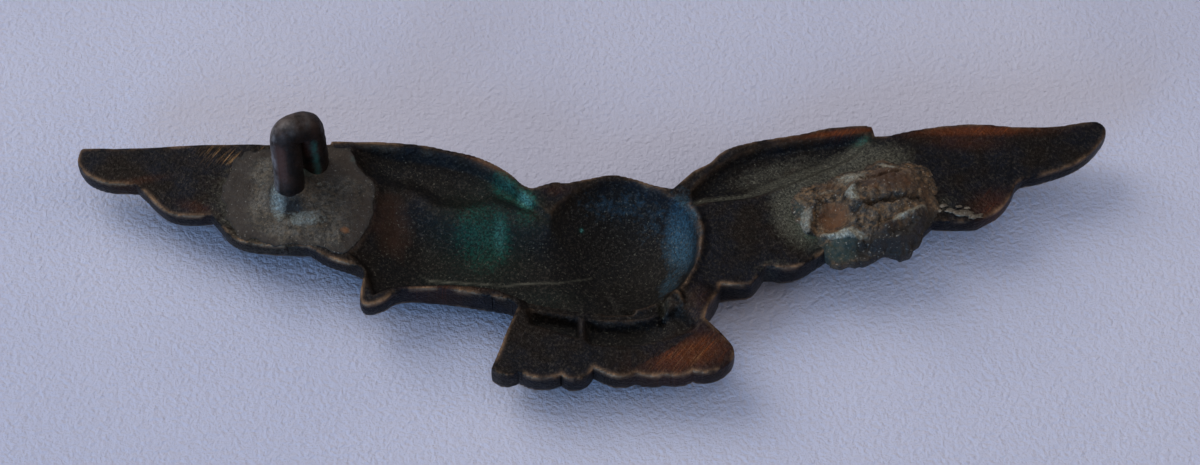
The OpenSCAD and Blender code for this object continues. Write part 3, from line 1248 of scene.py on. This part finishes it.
        quill = np.sin((y - 0.12 * side) * 2 * math.pi / self.quill_pitch + 0.7 * np.sin(side * 0.31))
        barbs = np.sin((side * 0.9 + y * 1.3) * 2 * math.pi / self.barb_pitch)
        tail_quill = np.sin((x - cx) * 2 * math.pi / (1.55 + 0.06 * (y + 10)))
        wing_part = ease(7.5, 10.0, side)
        relief = wing_part * (0.13 * quill + 0.035 * barbs) + tail * 0.14 * tail_quill
        scales = np.sin(x * 2 * math.pi / self.scale_pitch + math.pi * np.floor(y / 1.2))
        scales = scales * np.sin(y * 2 * math.pi / 2.4)
        relief = relief + (1 - wing_part) * (1 - tail) * 0.09 * scales
        soft = ease(0.0, 0.9, room)
        inward = 1.0 - np.clip(room, 0, self.edge_round) / self.edge_round
        round_off = self.edge_round * (1.0 - np.sqrt(np.clip(1.0 - inward**2, 0, 1)))
        return -np.minimum(thick + relief * soft, self.breast - 0.004) + round_off

    def build(self) -> bpy.types.Object:
        """Builds and dresses the badge.

        Returns:
            The finished piece.
        """
        x, y = grid((-38.6, -11.1), (38.6, 11.1), self.pitch)
        room = Trace(OUTLINE).room(x, y)
        height, deep = self.back(x, y, room)
        marks = self.marks(x, y, room, height)
        marks.update(height=height, face=self.face(x, y, room), deep=deep)
        skin = Skin(x, y, room, marks)
        upper = skin.values.pop("height") + self.plane
        lower = skin.values.pop("face") + self.plane
        piece = skin.build("badge_plate", upper, lower, 7, lambda t: 0.05 * np.sin(math.pi * t))
        piece.data.materials.append(self.finish)
        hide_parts("struck_badge")
        return piece

    def marks(self, x: Array, y: Array, room: Array, height: Array) -> dict[str, Array]:
        """Where the badge is rubbed, green or scratched.

        Args:
            x: Points along the span.
            y: Points across it.
            room: Distance from the edge.
            height: Heights of the back.

        Returns:
            One value a point for each kind.
        """
        bend = np.zeros_like(height)
        middle, ends = height[1:-1, 1:-1], (height[2:, 1:-1], height[:-2, 1:-1], height[1:-1, 2:], height[1:-1, :-2])
        bend[1:-1, 1:-1] = 4 * middle - ends[0] - ends[1] - ends[2] - ends[3]
        crest = np.clip(bend / 0.12, 0.0, 1.0) * ease(-1.4, -0.2, height)
        ring = bead(x, y, BREAST_RING, 0.6)
        edge = np.maximum(np.exp(-((np.clip(room, 0, 9) / 0.16) ** 1.5)), (0.12 + 0.35 * ring) * crest)
        tail_x, tail_y = zip(*WORN_TAIL[::-1])
        tail = (y < -7.0) & (y < np.interp(x, tail_x, tail_y))
        worn = blots(x, y, WORN_SPOTS)
        worn = np.where((y < -7.2) & (x > 2.0) & ~tail, worn * 0.2, worn)
        green = blots(x, y, GREEN_SPOTS)
        # blue: painted bluish light on the bowl's right wall, and a blue tint elsewhere.
        blue = blots(x, y, BLUE_LIGHT_SPOTS)
        red = blots(x, y, RED_SPOTS)
        cut = blots(x, y, CUT_SPOTS)
        nick = bead(x, y, NICK, 0.07) * (0.4 + 0.6 * ease(-0.3, 0.4, Grain(7).at(x, y, 0.7)))
        # A painted highlight up the right trough's near wall, along its foot, where the light falls; grey dust round
        # the lump and the pool.
        trough = ease(0.0, 0.3, Trace(RIGHT_TROUGH).room(x, y))
        dust = 0.9 * np.exp(-(((along(x, y, TROUGH_FOOT) - 0.3) / (0.7 + 0.5 * ease(11.0, 17.0, x))) ** 2)) * trough
        dust = np.maximum(dust, blots(x, y, DUST_AND_HIGHLIGHT_SPOTS))
        return {
            "edge": edge, "dust": dust, "worn": worn, "green": green,
            "blue": blue, "red": red, "cut": cut, "nick": nick,
        }


# ---------------------------------------------------------------- the fixings


LOOP_SPAN = 3.0
LOOP_TURN = -34.0


@dataclass
class WireLoop:
    """The bent wire eye that still stands on one wing. Sizes in millimetres."""

    foot: Vector
    finish: bpy.types.Material
    tall: float
    wire: float = 2.3
    span: float = LOOP_SPAN
    turn: float = LOOP_TURN
    square: float = 0.52
    droop: float = 0.4
    around: int = 40

    def path(self) -> Array:
        """The middle line of the wire.

        Returns:
            Points, N by 3.
        """
        half, crown = self.span / 2, self.tall - self.wire / 2 - self.span / 2
        up = [(-half, z) for z in np.linspace(0.0, crown, 22, endpoint=False)]
        sweep = np.linspace(0, math.pi, 44)
        square = [math.copysign(abs(math.cos(a)) ** self.square, math.cos(a)) for a in sweep]
        over = [(-half * c, crown + half * math.sin(a) ** self.square) for a, c in zip(sweep, square)]
        down = [(half, z) for z in np.linspace(crown, 0.0, 23)[1:]]
        flat = np.array(up + over + down)
        t = math.radians(self.turn)
        lean = 0.04 * np.sin(flat[:, 1] * 0.9)
        high = ease(0.2 * self.tall, 0.8 * self.tall, flat[:, 1])
        pinch = 1 - 0.62 * high
        sag = self.droop * high * (flat[:, 0] / self.span + 0.5)
        return np.column_stack(
            [
                self.foot.x - flat[:, 0] * math.sin(t) + lean,
                self.foot.y + (flat[:, 0] * pinch + half * (1 - pinch)) * math.cos(t),
                self.foot.z + flat[:, 1] - sag,
            ]
        )

    def build(self) -> bpy.types.Object:
        """Sweeps the wire and dresses it.

        Returns:
            The finished piece.
        """
        path = self.path()
        n, m = len(path), self.around
        ahead = np.gradient(path, axis=0)
        ahead /= np.linalg.norm(ahead, axis=1, keepdims=True)
        t = math.radians(self.turn)
        across = np.array([math.cos(t), math.sin(t), 0.0])
        across = across - ahead * (ahead @ across)[:, None]
        across /= np.linalg.norm(across, axis=1, keepdims=True)
        third = np.cross(ahead, across)
        angle = np.linspace(0, 2 * math.pi, m, endpoint=False)
        spin = across[:, None] * np.cos(angle)[None, :, None] + third[:, None] * np.sin(angle)[None, :, None]
        s = np.arange(n)[:, None] * 0.19
        grain = Grain(11)
        waves = grain.rough(s + 0 * angle, angle[None, :] * 1.15 + 0 * s, 1.4) * 0.5
        waves += grain.rough(s + 0 * angle, np.abs(angle[None, :] - math.pi) * 1.15 + 0 * s, 0.5)
        radius = self.wire / 2 - 0.035 + 0.035 * waves
        verts = path[:, None] + spin * radius[..., None]
        verts[..., 2] = np.minimum(verts[..., 2], self.foot.z + self.tall)
        faces = np.concatenate([sleeve(n, m), lid(0, m, n * m, False), lid((n - 1) * m, m, n * m + 1, True)])
        points = np.concatenate([verts.reshape(-1, 3), path[[0, -1]]])
        marks = self.marks(points, np.append(spin[..., 0].ravel(), [0.0, 0.0]))
        piece = solid("wire_loop", points * MM, faces, marks)
        piece.data.materials.append(self.finish)
        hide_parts("fixing_loop")
        return piece

    def marks(self, points: Array, side: Array) -> dict[str, Array]:
        """Where the wire is green and red, and where its highlight and its shade are painted.

        Args:
            points: The mesh's points in millimetres.
            side: Which way each point faces along the span, -1 to 1.

        Returns:
            One value a point for each kind.
        """
        t = math.radians(self.turn)
        x, y, z = points[:, 0] - self.foot.x, points[:, 1] - self.foot.y, points[:, 2] - self.foot.z
        far = ease(0.2, 0.9, -x * math.sin(t) + y * math.cos(t))
        # edge: a painted highlight down the near leg's left side, which faces the light, and paler along the crown's
        # top.
        edge = 1.6 * ease(-0.55, -0.85, side) * ease(0.6, 2.4, z) * (1 - far) + 0.45 * ease(5.8, 6.6, z)
        green = 0.85 * far * ease(6.0, 4.0, z) * ease(0.95, 0.2, side)
        red = 0.8 * (1 - far) * ease(-0.9, -0.5, side) * ease(0.2, -0.2, side) * ease(2.2, 3.4, z) * ease(5.6, 4.8, z)
        # shade: painted shade down the legs' right sides, turned from the light; it becomes the dark mark.
        shade = np.maximum(0.9 * ease(0.1, 0.6, side) * (1 - far), 0.9 * ease(0.55, 0.9, side))
        return {"edge": np.clip(edge, 0, 1), "green": green, "red": red, "dark": shade * ease(6.4, 5.2, z)}


POOL = corners(
    "-27.5,5.6 -27.1,7.6 -26.3,9.2 -24.7,10.1 -21.5,10.15 -18.3,9.9 -17.4,8 -16.3,6.5 -16.45,3.9 -17.35,1.8 "
    "-18.5,.55 -20.2,1.1 -21.7,1.5 -24.4,1.75 -26.2,2.6 -27.1,3.8"
)

POOL_STAINS = spots("-19,8,2.2,2.2,0,.75 -25.6,6,1.2,2.6,0,.45 -18,4.5,1.6,3.4,0,.62")
POOL_RUST = spots("-18.4,2.4,.45,.4,0,.75")
POOL_CRUST = spots(
    "-23.3,4.7,.8,1.9,10,.7 -21.4,3.5,2.2,.9,0,.62 -24.6,6.6,.7,1.2,0,.4 -20.6,5.6,.9,1.1,0,.4 "
    "-20.3,6.5,.5,.3,0,.5"
)
POOL_GREEN = spots("-17.8,9,.6,.8,0,.5")


@dataclass
class LoopSolder:
    """The skin of solder that holds the loop. Sizes in millimetres."""

    plane: float
    foot: Vector
    finish: bpy.types.Material
    pitch: float = 0.12
    thick: float = 0.3
    sunk: float = 0.12
    near_collar: float = 1.1
    far_collar: float = 0.15
    web: float = 0.35
    span: float = LOOP_SPAN
    turn: float = LOOP_TURN

    def build(self) -> bpy.types.Object:
        """Builds and dresses the solder.

        Returns:
            The finished piece.
        """
        x, y = grid((-28.2, 0.0), (-15.6, 10.8), self.pitch)
        room = Trace(POOL).room(x, y)
        grain = Grain(21)
        fringe = 0.45 * ease(-18.5, -24.0, x) + 0.12
        room = room + fringe * (grain.rough(x, y, 1.0) + 0.5 * grain.rough(x, y, 0.4)) * ease(-1.2, 0.0, room)
        t = math.radians(self.turn)
        ux, uy = -math.sin(t), math.cos(t)
        legs = [(self.foot.x + s * ux * self.span / 2, self.foot.y + s * uy * self.span / 2) for s in (-1, 1)]
        height = self.thick * (1 - 0.5 * ease(-22.0, -26.0, x)) * ease(-0.1, 2.0, room)
        height = height + 0.07 * grain.rough(x, y, 1.5) * ease(0, 0.6, room)
        height = height + 0.12 * grain.rough(x, y, 3.2, 1) * ease(0.2, 1.5, room)
        for (lx, ly), tall in zip(legs, (self.near_collar, self.far_collar)):
            away = np.maximum(np.hypot(x - lx, y - ly) - 1.05, 0.0)
            height = height + tall * np.exp(-((away / 0.55) ** 1.4))
        web = along(x, y, legs)
        height = height + self.web * np.exp(-((web / 0.6) ** 2.6))
        pit = Blot(legs[0][0] + 0.15, legs[0][1] - 1.75, 0.8, 0.5, 10)
        height = height - 0.28 * pit.cover(x, y) + 0.02
        height = np.maximum(height, 0.015)
        marks = {
            "height": height,
            "stain": blots(x, y, POOL_STAINS)
            + 0.5 * ease(1.3, 0.2, room)
            + 0.7 * ease(2.6, 0.4, room) * ease(-22.5, -25.0, x),
            "rust": blots(x, y, POOL_RUST),
            "crust": blots(x, y, POOL_CRUST),
            "green": np.maximum(0.75 * np.exp(-((web / 0.75) ** 4)), blots(x, y, POOL_GREEN)),
            # dark: darker in the pit and along the pool's rim, and painted shade along the web between the loop's
            # legs.
            "dark": np.maximum(
                np.maximum(1.2 * pit.cover(x, y), 0.65 * np.exp(-((np.clip(room, 0, 9) / 0.22) ** 2))),
                0.7 * np.exp(-((web / 0.8) ** 4)),
            ),
        }
        skin = Skin(x, y, room, marks)
        skin.values["dark"] = np.clip(skin.values["dark"], 0, 1)
        top = skin.values.pop("height")
        under = np.full(len(top), self.plane - self.sunk)
        piece = skin.build("loop_solder_skin", self.plane + top, under, 3, lambda t: 0.03 * t)
        piece.data.materials.append(self.finish)
        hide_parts("loop_solder")
        return piece


TORN = corners(
    "15.1,5 14.2,3.7 14.7,1.9 15.9,.6 16.5,-.4 17.1,-1.5 18.2,-1.7 19.7,-1.2 22.3,-.8 23.9,.7 25,2.9 25.1,5.6 "
    "24,7 21.2,7.4 18.9,6.5 17,5.7"
)

LUMP_STAINS = spots("21.6,4.6,2.7,2,0,.8 21.5,0,2.4,1.3,0,.62 17.2,5,1.3,.8,0,.6 24.3,4,.9,2,0,.6")
LUMP_RUST = spots("17.3,2.2,1.3,1.4,0,.9 20.2,3.8,.9,.8,0,.5 22.8,4.3,.9,.6,20,.5")
# Pale crust; the strip at 18,.45 along the lower ridge is a painted highlight.
LUMP_CRUST_AND_HIGHLIGHT = spots(
    "15.3,2.1,.6,1.5,0,.7 18.7,3.3,.5,.9,20,1 18.9,5.6,1.6,1,15,.7 22.4,1.5,1.8,.4,32,.75 21.6,6.6,1.2,.35,-10,.7 "
    "19.3,5.2,.35,.8,20,.6 16.8,4.4,1.4,.4,20,.5 18,.45,1.7,.4,-12,1.3 23.9,2.4,.5,.4,0,.6"
)
LUMP_GREEN = spots("17.6,-.6,1.9,1.1,0,1.1 14.8,3,.8,2.2,0,.6 16,.3,1.2,.7,0,.6")
# The first patch lies on the steep front face and is painted shade.
LUMP_DARK = spots("21.6,-.3,2.6,1.1,8,1.2 20,6.6,2,.5,0,.6")


@dataclass
class TornSolder:
    """What is left of the second loop's solder, torn and rusted. Sizes in millimetres."""

    plane: float
    finish: bpy.types.Material
    pitch: float = 0.082
    tall: float = 2.2

    def relief(self, x: Array, y: Array, room: Array) -> Array:
        """Height of the broken lump.

        Args:
            x: Points along the span.
            y: Points across it.
            room: Distance from its edge.

        Returns:
            Heights above the plane.
        """
        grain = Grain(31)
        body = 1.3 * ease(0.0, 2.8, room) + 0.1 * ease(0.0, 0.3, room)
        crown = np.exp(-((np.hypot((x - 21.4) / 2.7, (y - 3.9) / 2.4)) ** 3))
        body = body + 0.62 * crown
        front = ease(19.3, 20.2, x) * ease(24.6, 23.4, x) * ease(3.2, 1.3, y)
        body = np.where(y < 2.6, np.maximum(body, 1.35 * front * ease(0.0, 0.55, room)), body)
        crater = Blot(17.3, 2.3, 1.35, 1.45, 0).cover(x, y)
        body = body - 1.15 * crater
        body = body + 0.75 * bead(x, y, ((15.5, 0.9), (15.4, 2.0), (15.9, 3.3)), 0.33)
        body = body + 0.7 * bead(x, y, ((19.0, 4.2), (18.5, 3.6), (18.5, 2.7), (19.3, 2.2)), 0.34)
        body = body + 0.5 * bead(x, y, ((20.9, 0.4), (22.0, 1.2), (23.1, 1.8), (24.0, 2.3)), 0.3)
        body = body + 0.3 * bead(x, y, ((16.5, 0.7), (18.0, 0.4), (19.1, -0.2)), 0.28)
        torn = x + 0.25 * grain.rough(x + 5, y, 0.9), y + 0.3 * grain.rough(x, y + 5, 0.9)
        body = body - 0.6 * bead(*torn, ((18.8, 2.1), (20.6, 2.6), (22.1, 2.8), (23.7, 3.1)), 0.2)
        body = body - 0.5 * bead(x, y, ((19.6, 5.2), (20.6, 4.6), (22.4, 5.8)), 0.2)
        rough = 0.32 * grain.rough(x, y, 1.5, 4) + 0.34 * np.abs(grain.rough(x, y, 0.75, 3)) - 0.1
        body = body + rough * ease(0.0, 0.9, room)
        return np.clip(body, 0.03, self.tall)

    def build(self) -> bpy.types.Object:
        """Builds and dresses the lump.

        Returns:
            The finished piece.
        """
        x, y = grid((13.6, -2.6), (25.8, 8.0), self.pitch)
        room = Trace(TORN).room(x, y)
        grain = Grain(32)
        room = room + (0.32 * grain.rough(x, y, 1.3) + 0.2 * grain.rough(x, y, 0.45)) * ease(-1.2, 0.0, room)
        height = self.relief(x, y, room) * (0.4 + 0.6 * ease(14.4, 17.2, x))
        hang = ease(-0.45, -0.75, y - 0.33 * np.clip(x - 21.6, 0, 9)) * ease(26.0, 24.0, x)
        height = height * (1 - 0.45 * hang)
        lower = -0.12 - 0.85 * hang * (0.7 + 0.5 * grain.rough(x, y, 0.9))
        marks = {
            "height": height,
            "lower": lower,
            "stain": blots(x, y, LUMP_STAINS),
            "rust": blots(x, y, LUMP_RUST),
            "crust": blots(x, y, LUMP_CRUST_AND_HIGHLIGHT),
            "green": blots(x, y, LUMP_GREEN),
            # dark: the torn crack, the dark patches, painted shade on the front face and a darker edge.
            "dark": np.clip(
                0.8 * bead(x, y, ((18.8, 2.1), (20.6, 2.6), (22.1, 2.8), (23.7, 3.1)), 0.3)
                + 0.7 * blots(x, y, LUMP_DARK)
                # painted shade on the steep front face, which turns from the light
                + 1.0 * ease(1.6, 0.6, room) * ease(3.2, 1.4, y) * ease(18.0, 19.5, x)
                + 0.5 * np.exp(-((np.clip(room, 0, 9) / 0.2) ** 2)),
                0.0,
                1.0,
            ),
        }
        skin = Skin(x, y, room, marks)
        upper, under = skin.values.pop("height"), skin.values.pop("lower")
        upper, under = self.plane + upper, self.plane + under
        piece = skin.build("torn_solder_lump", upper, under, 4, lambda t: 0.05 * np.sin(math.pi * t))
        piece.data.materials.append(self.finish)
        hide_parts("torn_solder")
        return piece


@dataclass
class BrokenLeg:
    """The stump of wire left in the torn solder. Sizes in millimetres."""

    foot: Vector
    finish: bpy.types.Material
    wire: float = 2.3
    tall: float = 1.7
    around: int = 48

    def build(self) -> bpy.types.Object:
        """Builds a stump with a ragged, slanted break and dresses it.

        Returns:
            The finished piece.
        """
        m, rows, rings = self.around, 9, 11
        angle = np.linspace(0, 2 * math.pi, m, endpoint=False)
        grain = Grain(41)
        verts = []
        r0 = self.wire / 2 - 0.03
        ring_r = [r0] * rows + [r0 * (1 - k / rings) for k in range(1, rings)]
        for k, r in enumerate(ring_r):
            x, y = r * np.cos(angle), r * np.sin(angle)
            broken = self.tall - 0.42 + 0.2 * x + 0.13 * grain.rough(x + 9, y, 0.8, 3)
            share = min(1.0, k / (rows - 1))
            wobble = 1 + 0.02 * grain.rough(angle * 2 + 3, 0 * angle + 3 * share, 1.0)
            fall = 0.05 if k == rows - 1 else 0.0
            z = broken * share - fall
            verts.append(np.column_stack([self.foot.x + x * wobble, self.foot.y + y * wobble, self.foot.z + z]))
        middles = [[*self.foot.xy, self.foot.z + self.tall - 0.5], [*self.foot.xy, self.foot.z]]
        points = np.concatenate([*verts, middles])
        last, top = (len(ring_r) - 1) * m, len(ring_r) * m
        faces = np.concatenate([sleeve(len(ring_r), m), lid(last, m, top, True), lid(0, m, top + 1, False)])
        out = np.hypot(points[:, 0] - self.foot.x, points[:, 1] - self.foot.y)
        rim = ease(0.75, 1.1, out) * ease(0.7, 1.1, points[:, 2] - self.foot.z)
        marks = {"edge": rim, "green": 0 * out, "red": 0 * out + 0.5, "dark": 0 * out}
        piece = solid("broken_leg", points * MM, faces, marks)
        piece.data.materials.append(self.finish)
        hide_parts("sheared_leg")
        return piece


@dataclass
class Spatter:
    """Bright drops of solder that fell on the wing. Sizes in millimetres."""

    plane: float
    finish: bpy.types.Material
    drops: tuple[tuple[float, float, float], ...] = (
        (26.0, 2.75, 0.2), (26.35, 2.6, 0.16), (26.95, 2.5, 0.27), (27.3, 2.32, 0.15), (27.65, 2.15, 0.2),
        (28.1, 2.3, 0.11), (26.6, 3.1, 0.12), (25.5, 3.2, 0.15), (27.2, 2.95, 0.1), (25.1, 2.8, 0.12),
    )
    around: int = 18
    rings: int = 7
    stretch: float = 2.3
    squash: float = 0.35

    def build(self) -> bpy.types.Object:
        """Builds the drops as one piece and dresses it.

        Returns:
            The finished piece.
        """
        points, faces = [], []
        grain = Grain(51)
        for x0, y0, r in self.drops:
            start, m, n = sum(len(p) for p in points), self.around, self.rings
            lat = np.linspace(-0.35 * math.pi, 0.5 * math.pi, n)
            ring = []
            for phi in lat:
                a = np.linspace(0, 2 * math.pi, m, endpoint=False)
                wob = 1 + 0.8 * grain.rough(np.cos(a) * 2 + x0 * 3, np.sin(a) * 2 + y0, 1.2)
                flat = r * max(math.cos(phi), 0.02) * wob
                level = self.plane + r * self.squash * math.sin(phi) + 0.02
                ring.append(
                    np.column_stack([x0 + flat * np.cos(a) * self.stretch, y0 + flat * np.sin(a), 0 * a + level])
                )
            points.append(np.concatenate(ring + [np.array([[x0, y0, self.plane - 0.2 * r]])]))
            faces += [sleeve(n, m, start), lid(start, m, start + n * m, False)]
            top = start + (n - 1) * m
            faces.append(np.array([(top, top + j, top + j + 1) for j in range(1, m - 1)]))
        piece = solid("solder_spatter", np.concatenate(points) * MM, np.concatenate(faces), {})
        piece.data.materials.append(self.finish)
        return piece


# ---------------------------------------------------------------- the setting


@dataclass
class Setting:
    """The paper, the soft lights and the camera. Sizes in metres, angles in degrees."""

    paper: bpy.types.Material
    target: Vector
    distance: float = 0.230
    azimuth: float = -2.0
    elevation: float = 55.0
    lens: float = 94.5
    sensor: float = 36.0
    reach: float = 0.6
    cuts: int = 40
    sky: Colour = (0.84, 0.87, 1.0)
    sky_strength: float = 0.18

    def build(self) -> None:
        """Lays the paper and places the lights and the camera."""
        n = self.cuts
        xs = np.linspace(-self.reach, self.reach, n)
        x, y = np.meshgrid(xs, xs, indexing="ij")
        points = np.column_stack([x.ravel(), y.ravel(), 0 * x.ravel()])
        i, j = np.meshgrid(np.arange(n - 1), np.arange(n - 1), indexing="ij")
        quads = np.stack([i * n + j, (i + 1) * n + j, (i + 1) * n + j + 1, i * n + j + 1], -1).reshape(-1, 4)
        floor = solid("paper_sheet", points, quads, {})
        floor.data.materials.append(self.paper)

        self.light("key", (-0.5, 0.42, 0.6), 0.75, 5.2, (1.0, 0.95, 0.88))
        self.light("overhead", (0.0, -0.1, 0.9), 1.1, 2.2, (1.0, 0.97, 0.96))
        self.light("cool_front", (-0.4, -0.55, 0.2), 0.3, 3.4, (0.3, 0.6, 1.0))
        self.light("warm_side", (0.62, -0.1, 0.28), 0.4, 0.9, (1.0, 0.84, 0.68))
        world = bpy.data.worlds.new("studio")
        world.use_nodes = True
        back = world.node_tree.nodes["Background"]
        back.inputs["Color"].default_value = (*self.sky, 1.0)
        back.inputs["Strength"].default_value = self.sky_strength
        bpy.context.scene.world = world
        bpy.context.scene.view_settings.view_transform = "Standard"

        az, el = math.radians(self.azimuth), math.radians(self.elevation)
        away = Vector((math.sin(az) * math.cos(el), -math.cos(az) * math.cos(el), math.sin(el)))
        data = bpy.data.cameras.new("camera")
        data.lens, data.sensor_width = self.lens, self.sensor
        data.clip_start, data.clip_end = 0.01, 10.0
        camera = bpy.data.objects.new("camera", data)
        camera.location = self.target + away * self.distance
        camera.rotation_euler = (-away).to_track_quat("-Z", "Y").to_euler()
        bpy.context.scene.collection.objects.link(camera)
        bpy.context.scene.camera = camera

    def light(self, name: str, place: tuple[float, float, float], size: float, power: float, colour: Colour) -> None:
        """Places one soft light that faces the badge.

        Args:
            name: Name of the light.
            place: Where it stands.
            size: Width of its square.
            power: Watts.
            colour: Its colour.
        """
        data = bpy.data.lights.new(name, "AREA")
        data.shape, data.size, data.energy, data.color = "DISK", size, power, colour
        lamp = bpy.data.objects.new(name, data)
        lamp.location = place
        lamp.rotation_euler = Vector(place).to_track_quat("Z", "Y").to_euler()
        bpy.context.scene.collection.objects.link(lamp)


def main() -> None:
    """Builds the pieces and the setting."""
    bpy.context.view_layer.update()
    loop_low, loop_high = (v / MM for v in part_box("fixing_loop"))
    leg_low, leg_high = (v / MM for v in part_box("sheared_leg"))
    plane = loop_low.z
    foot = Vector(((loop_low.x + loop_high.x) / 2, (loop_low.y + loop_high.y) / 2, plane))
    stump = Vector(((leg_low.x + leg_high.x) / 2, (leg_low.y + leg_high.y) / 2, leg_low.z))

    effects = Effects()
    bronze = PatinatedBronze().dress(effects)
    wire = BrownedWire().dress(effects)
    rusty_wire = BrownedWire(name="rusted_wire", brown=paint(84, 52, 34), grey=paint(120, 100, 84)).dress(effects)
    solder = OldSolder().dress(effects)
    torn = OldSolder(
        name="rusted_solder",
        grey=paint(84, 70, 56),
        dark=paint(18, 14, 11),
        stain=paint(62, 40, 25),
        rust=paint(92, 56, 28),
        crust=paint(172, 174, 162),
        green=paint(24, 50, 49),
        tan=paint(126, 98, 68),
        speck=paint(190, 182, 168),
        tan_share=0.7,
        metal=0.1,
        lumpy=0.38,
    ).dress(effects)
    bright = OldSolder(
        name="bright_solder", grey=paint(150, 144, 132), dark=paint(70, 62, 54), metal=0.5
    ).dress(effects)

    pieces = {
        "bronze": StruckBadge(plane, bronze).build(),
        "wire": WireLoop(foot, wire, loop_high.z - loop_low.z).build(),
        "solder": LoopSolder(plane, foot, solder).build(),
        "rusted_solder": TornSolder(plane, torn).build(),
        "broken_wire": BrokenLeg(stump, rusty_wire).build(),
    }
    for slot, piece in pieces.items():
        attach(piece, "root")
        log.info("%s: %d points, %d faces", piece.name, len(piece.data.vertices), len(piece.data.polygons))
    drops = Spatter(plane, bright).build()
    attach(drops, "root")
    log.info("%s: %d points", drops.name, len(drops.data.vertices))
    Setting(LaidPaper().dress(effects), Vector((0.2, 1.7, plane)) * MM).build()


if __name__ == "__main__":
    main()
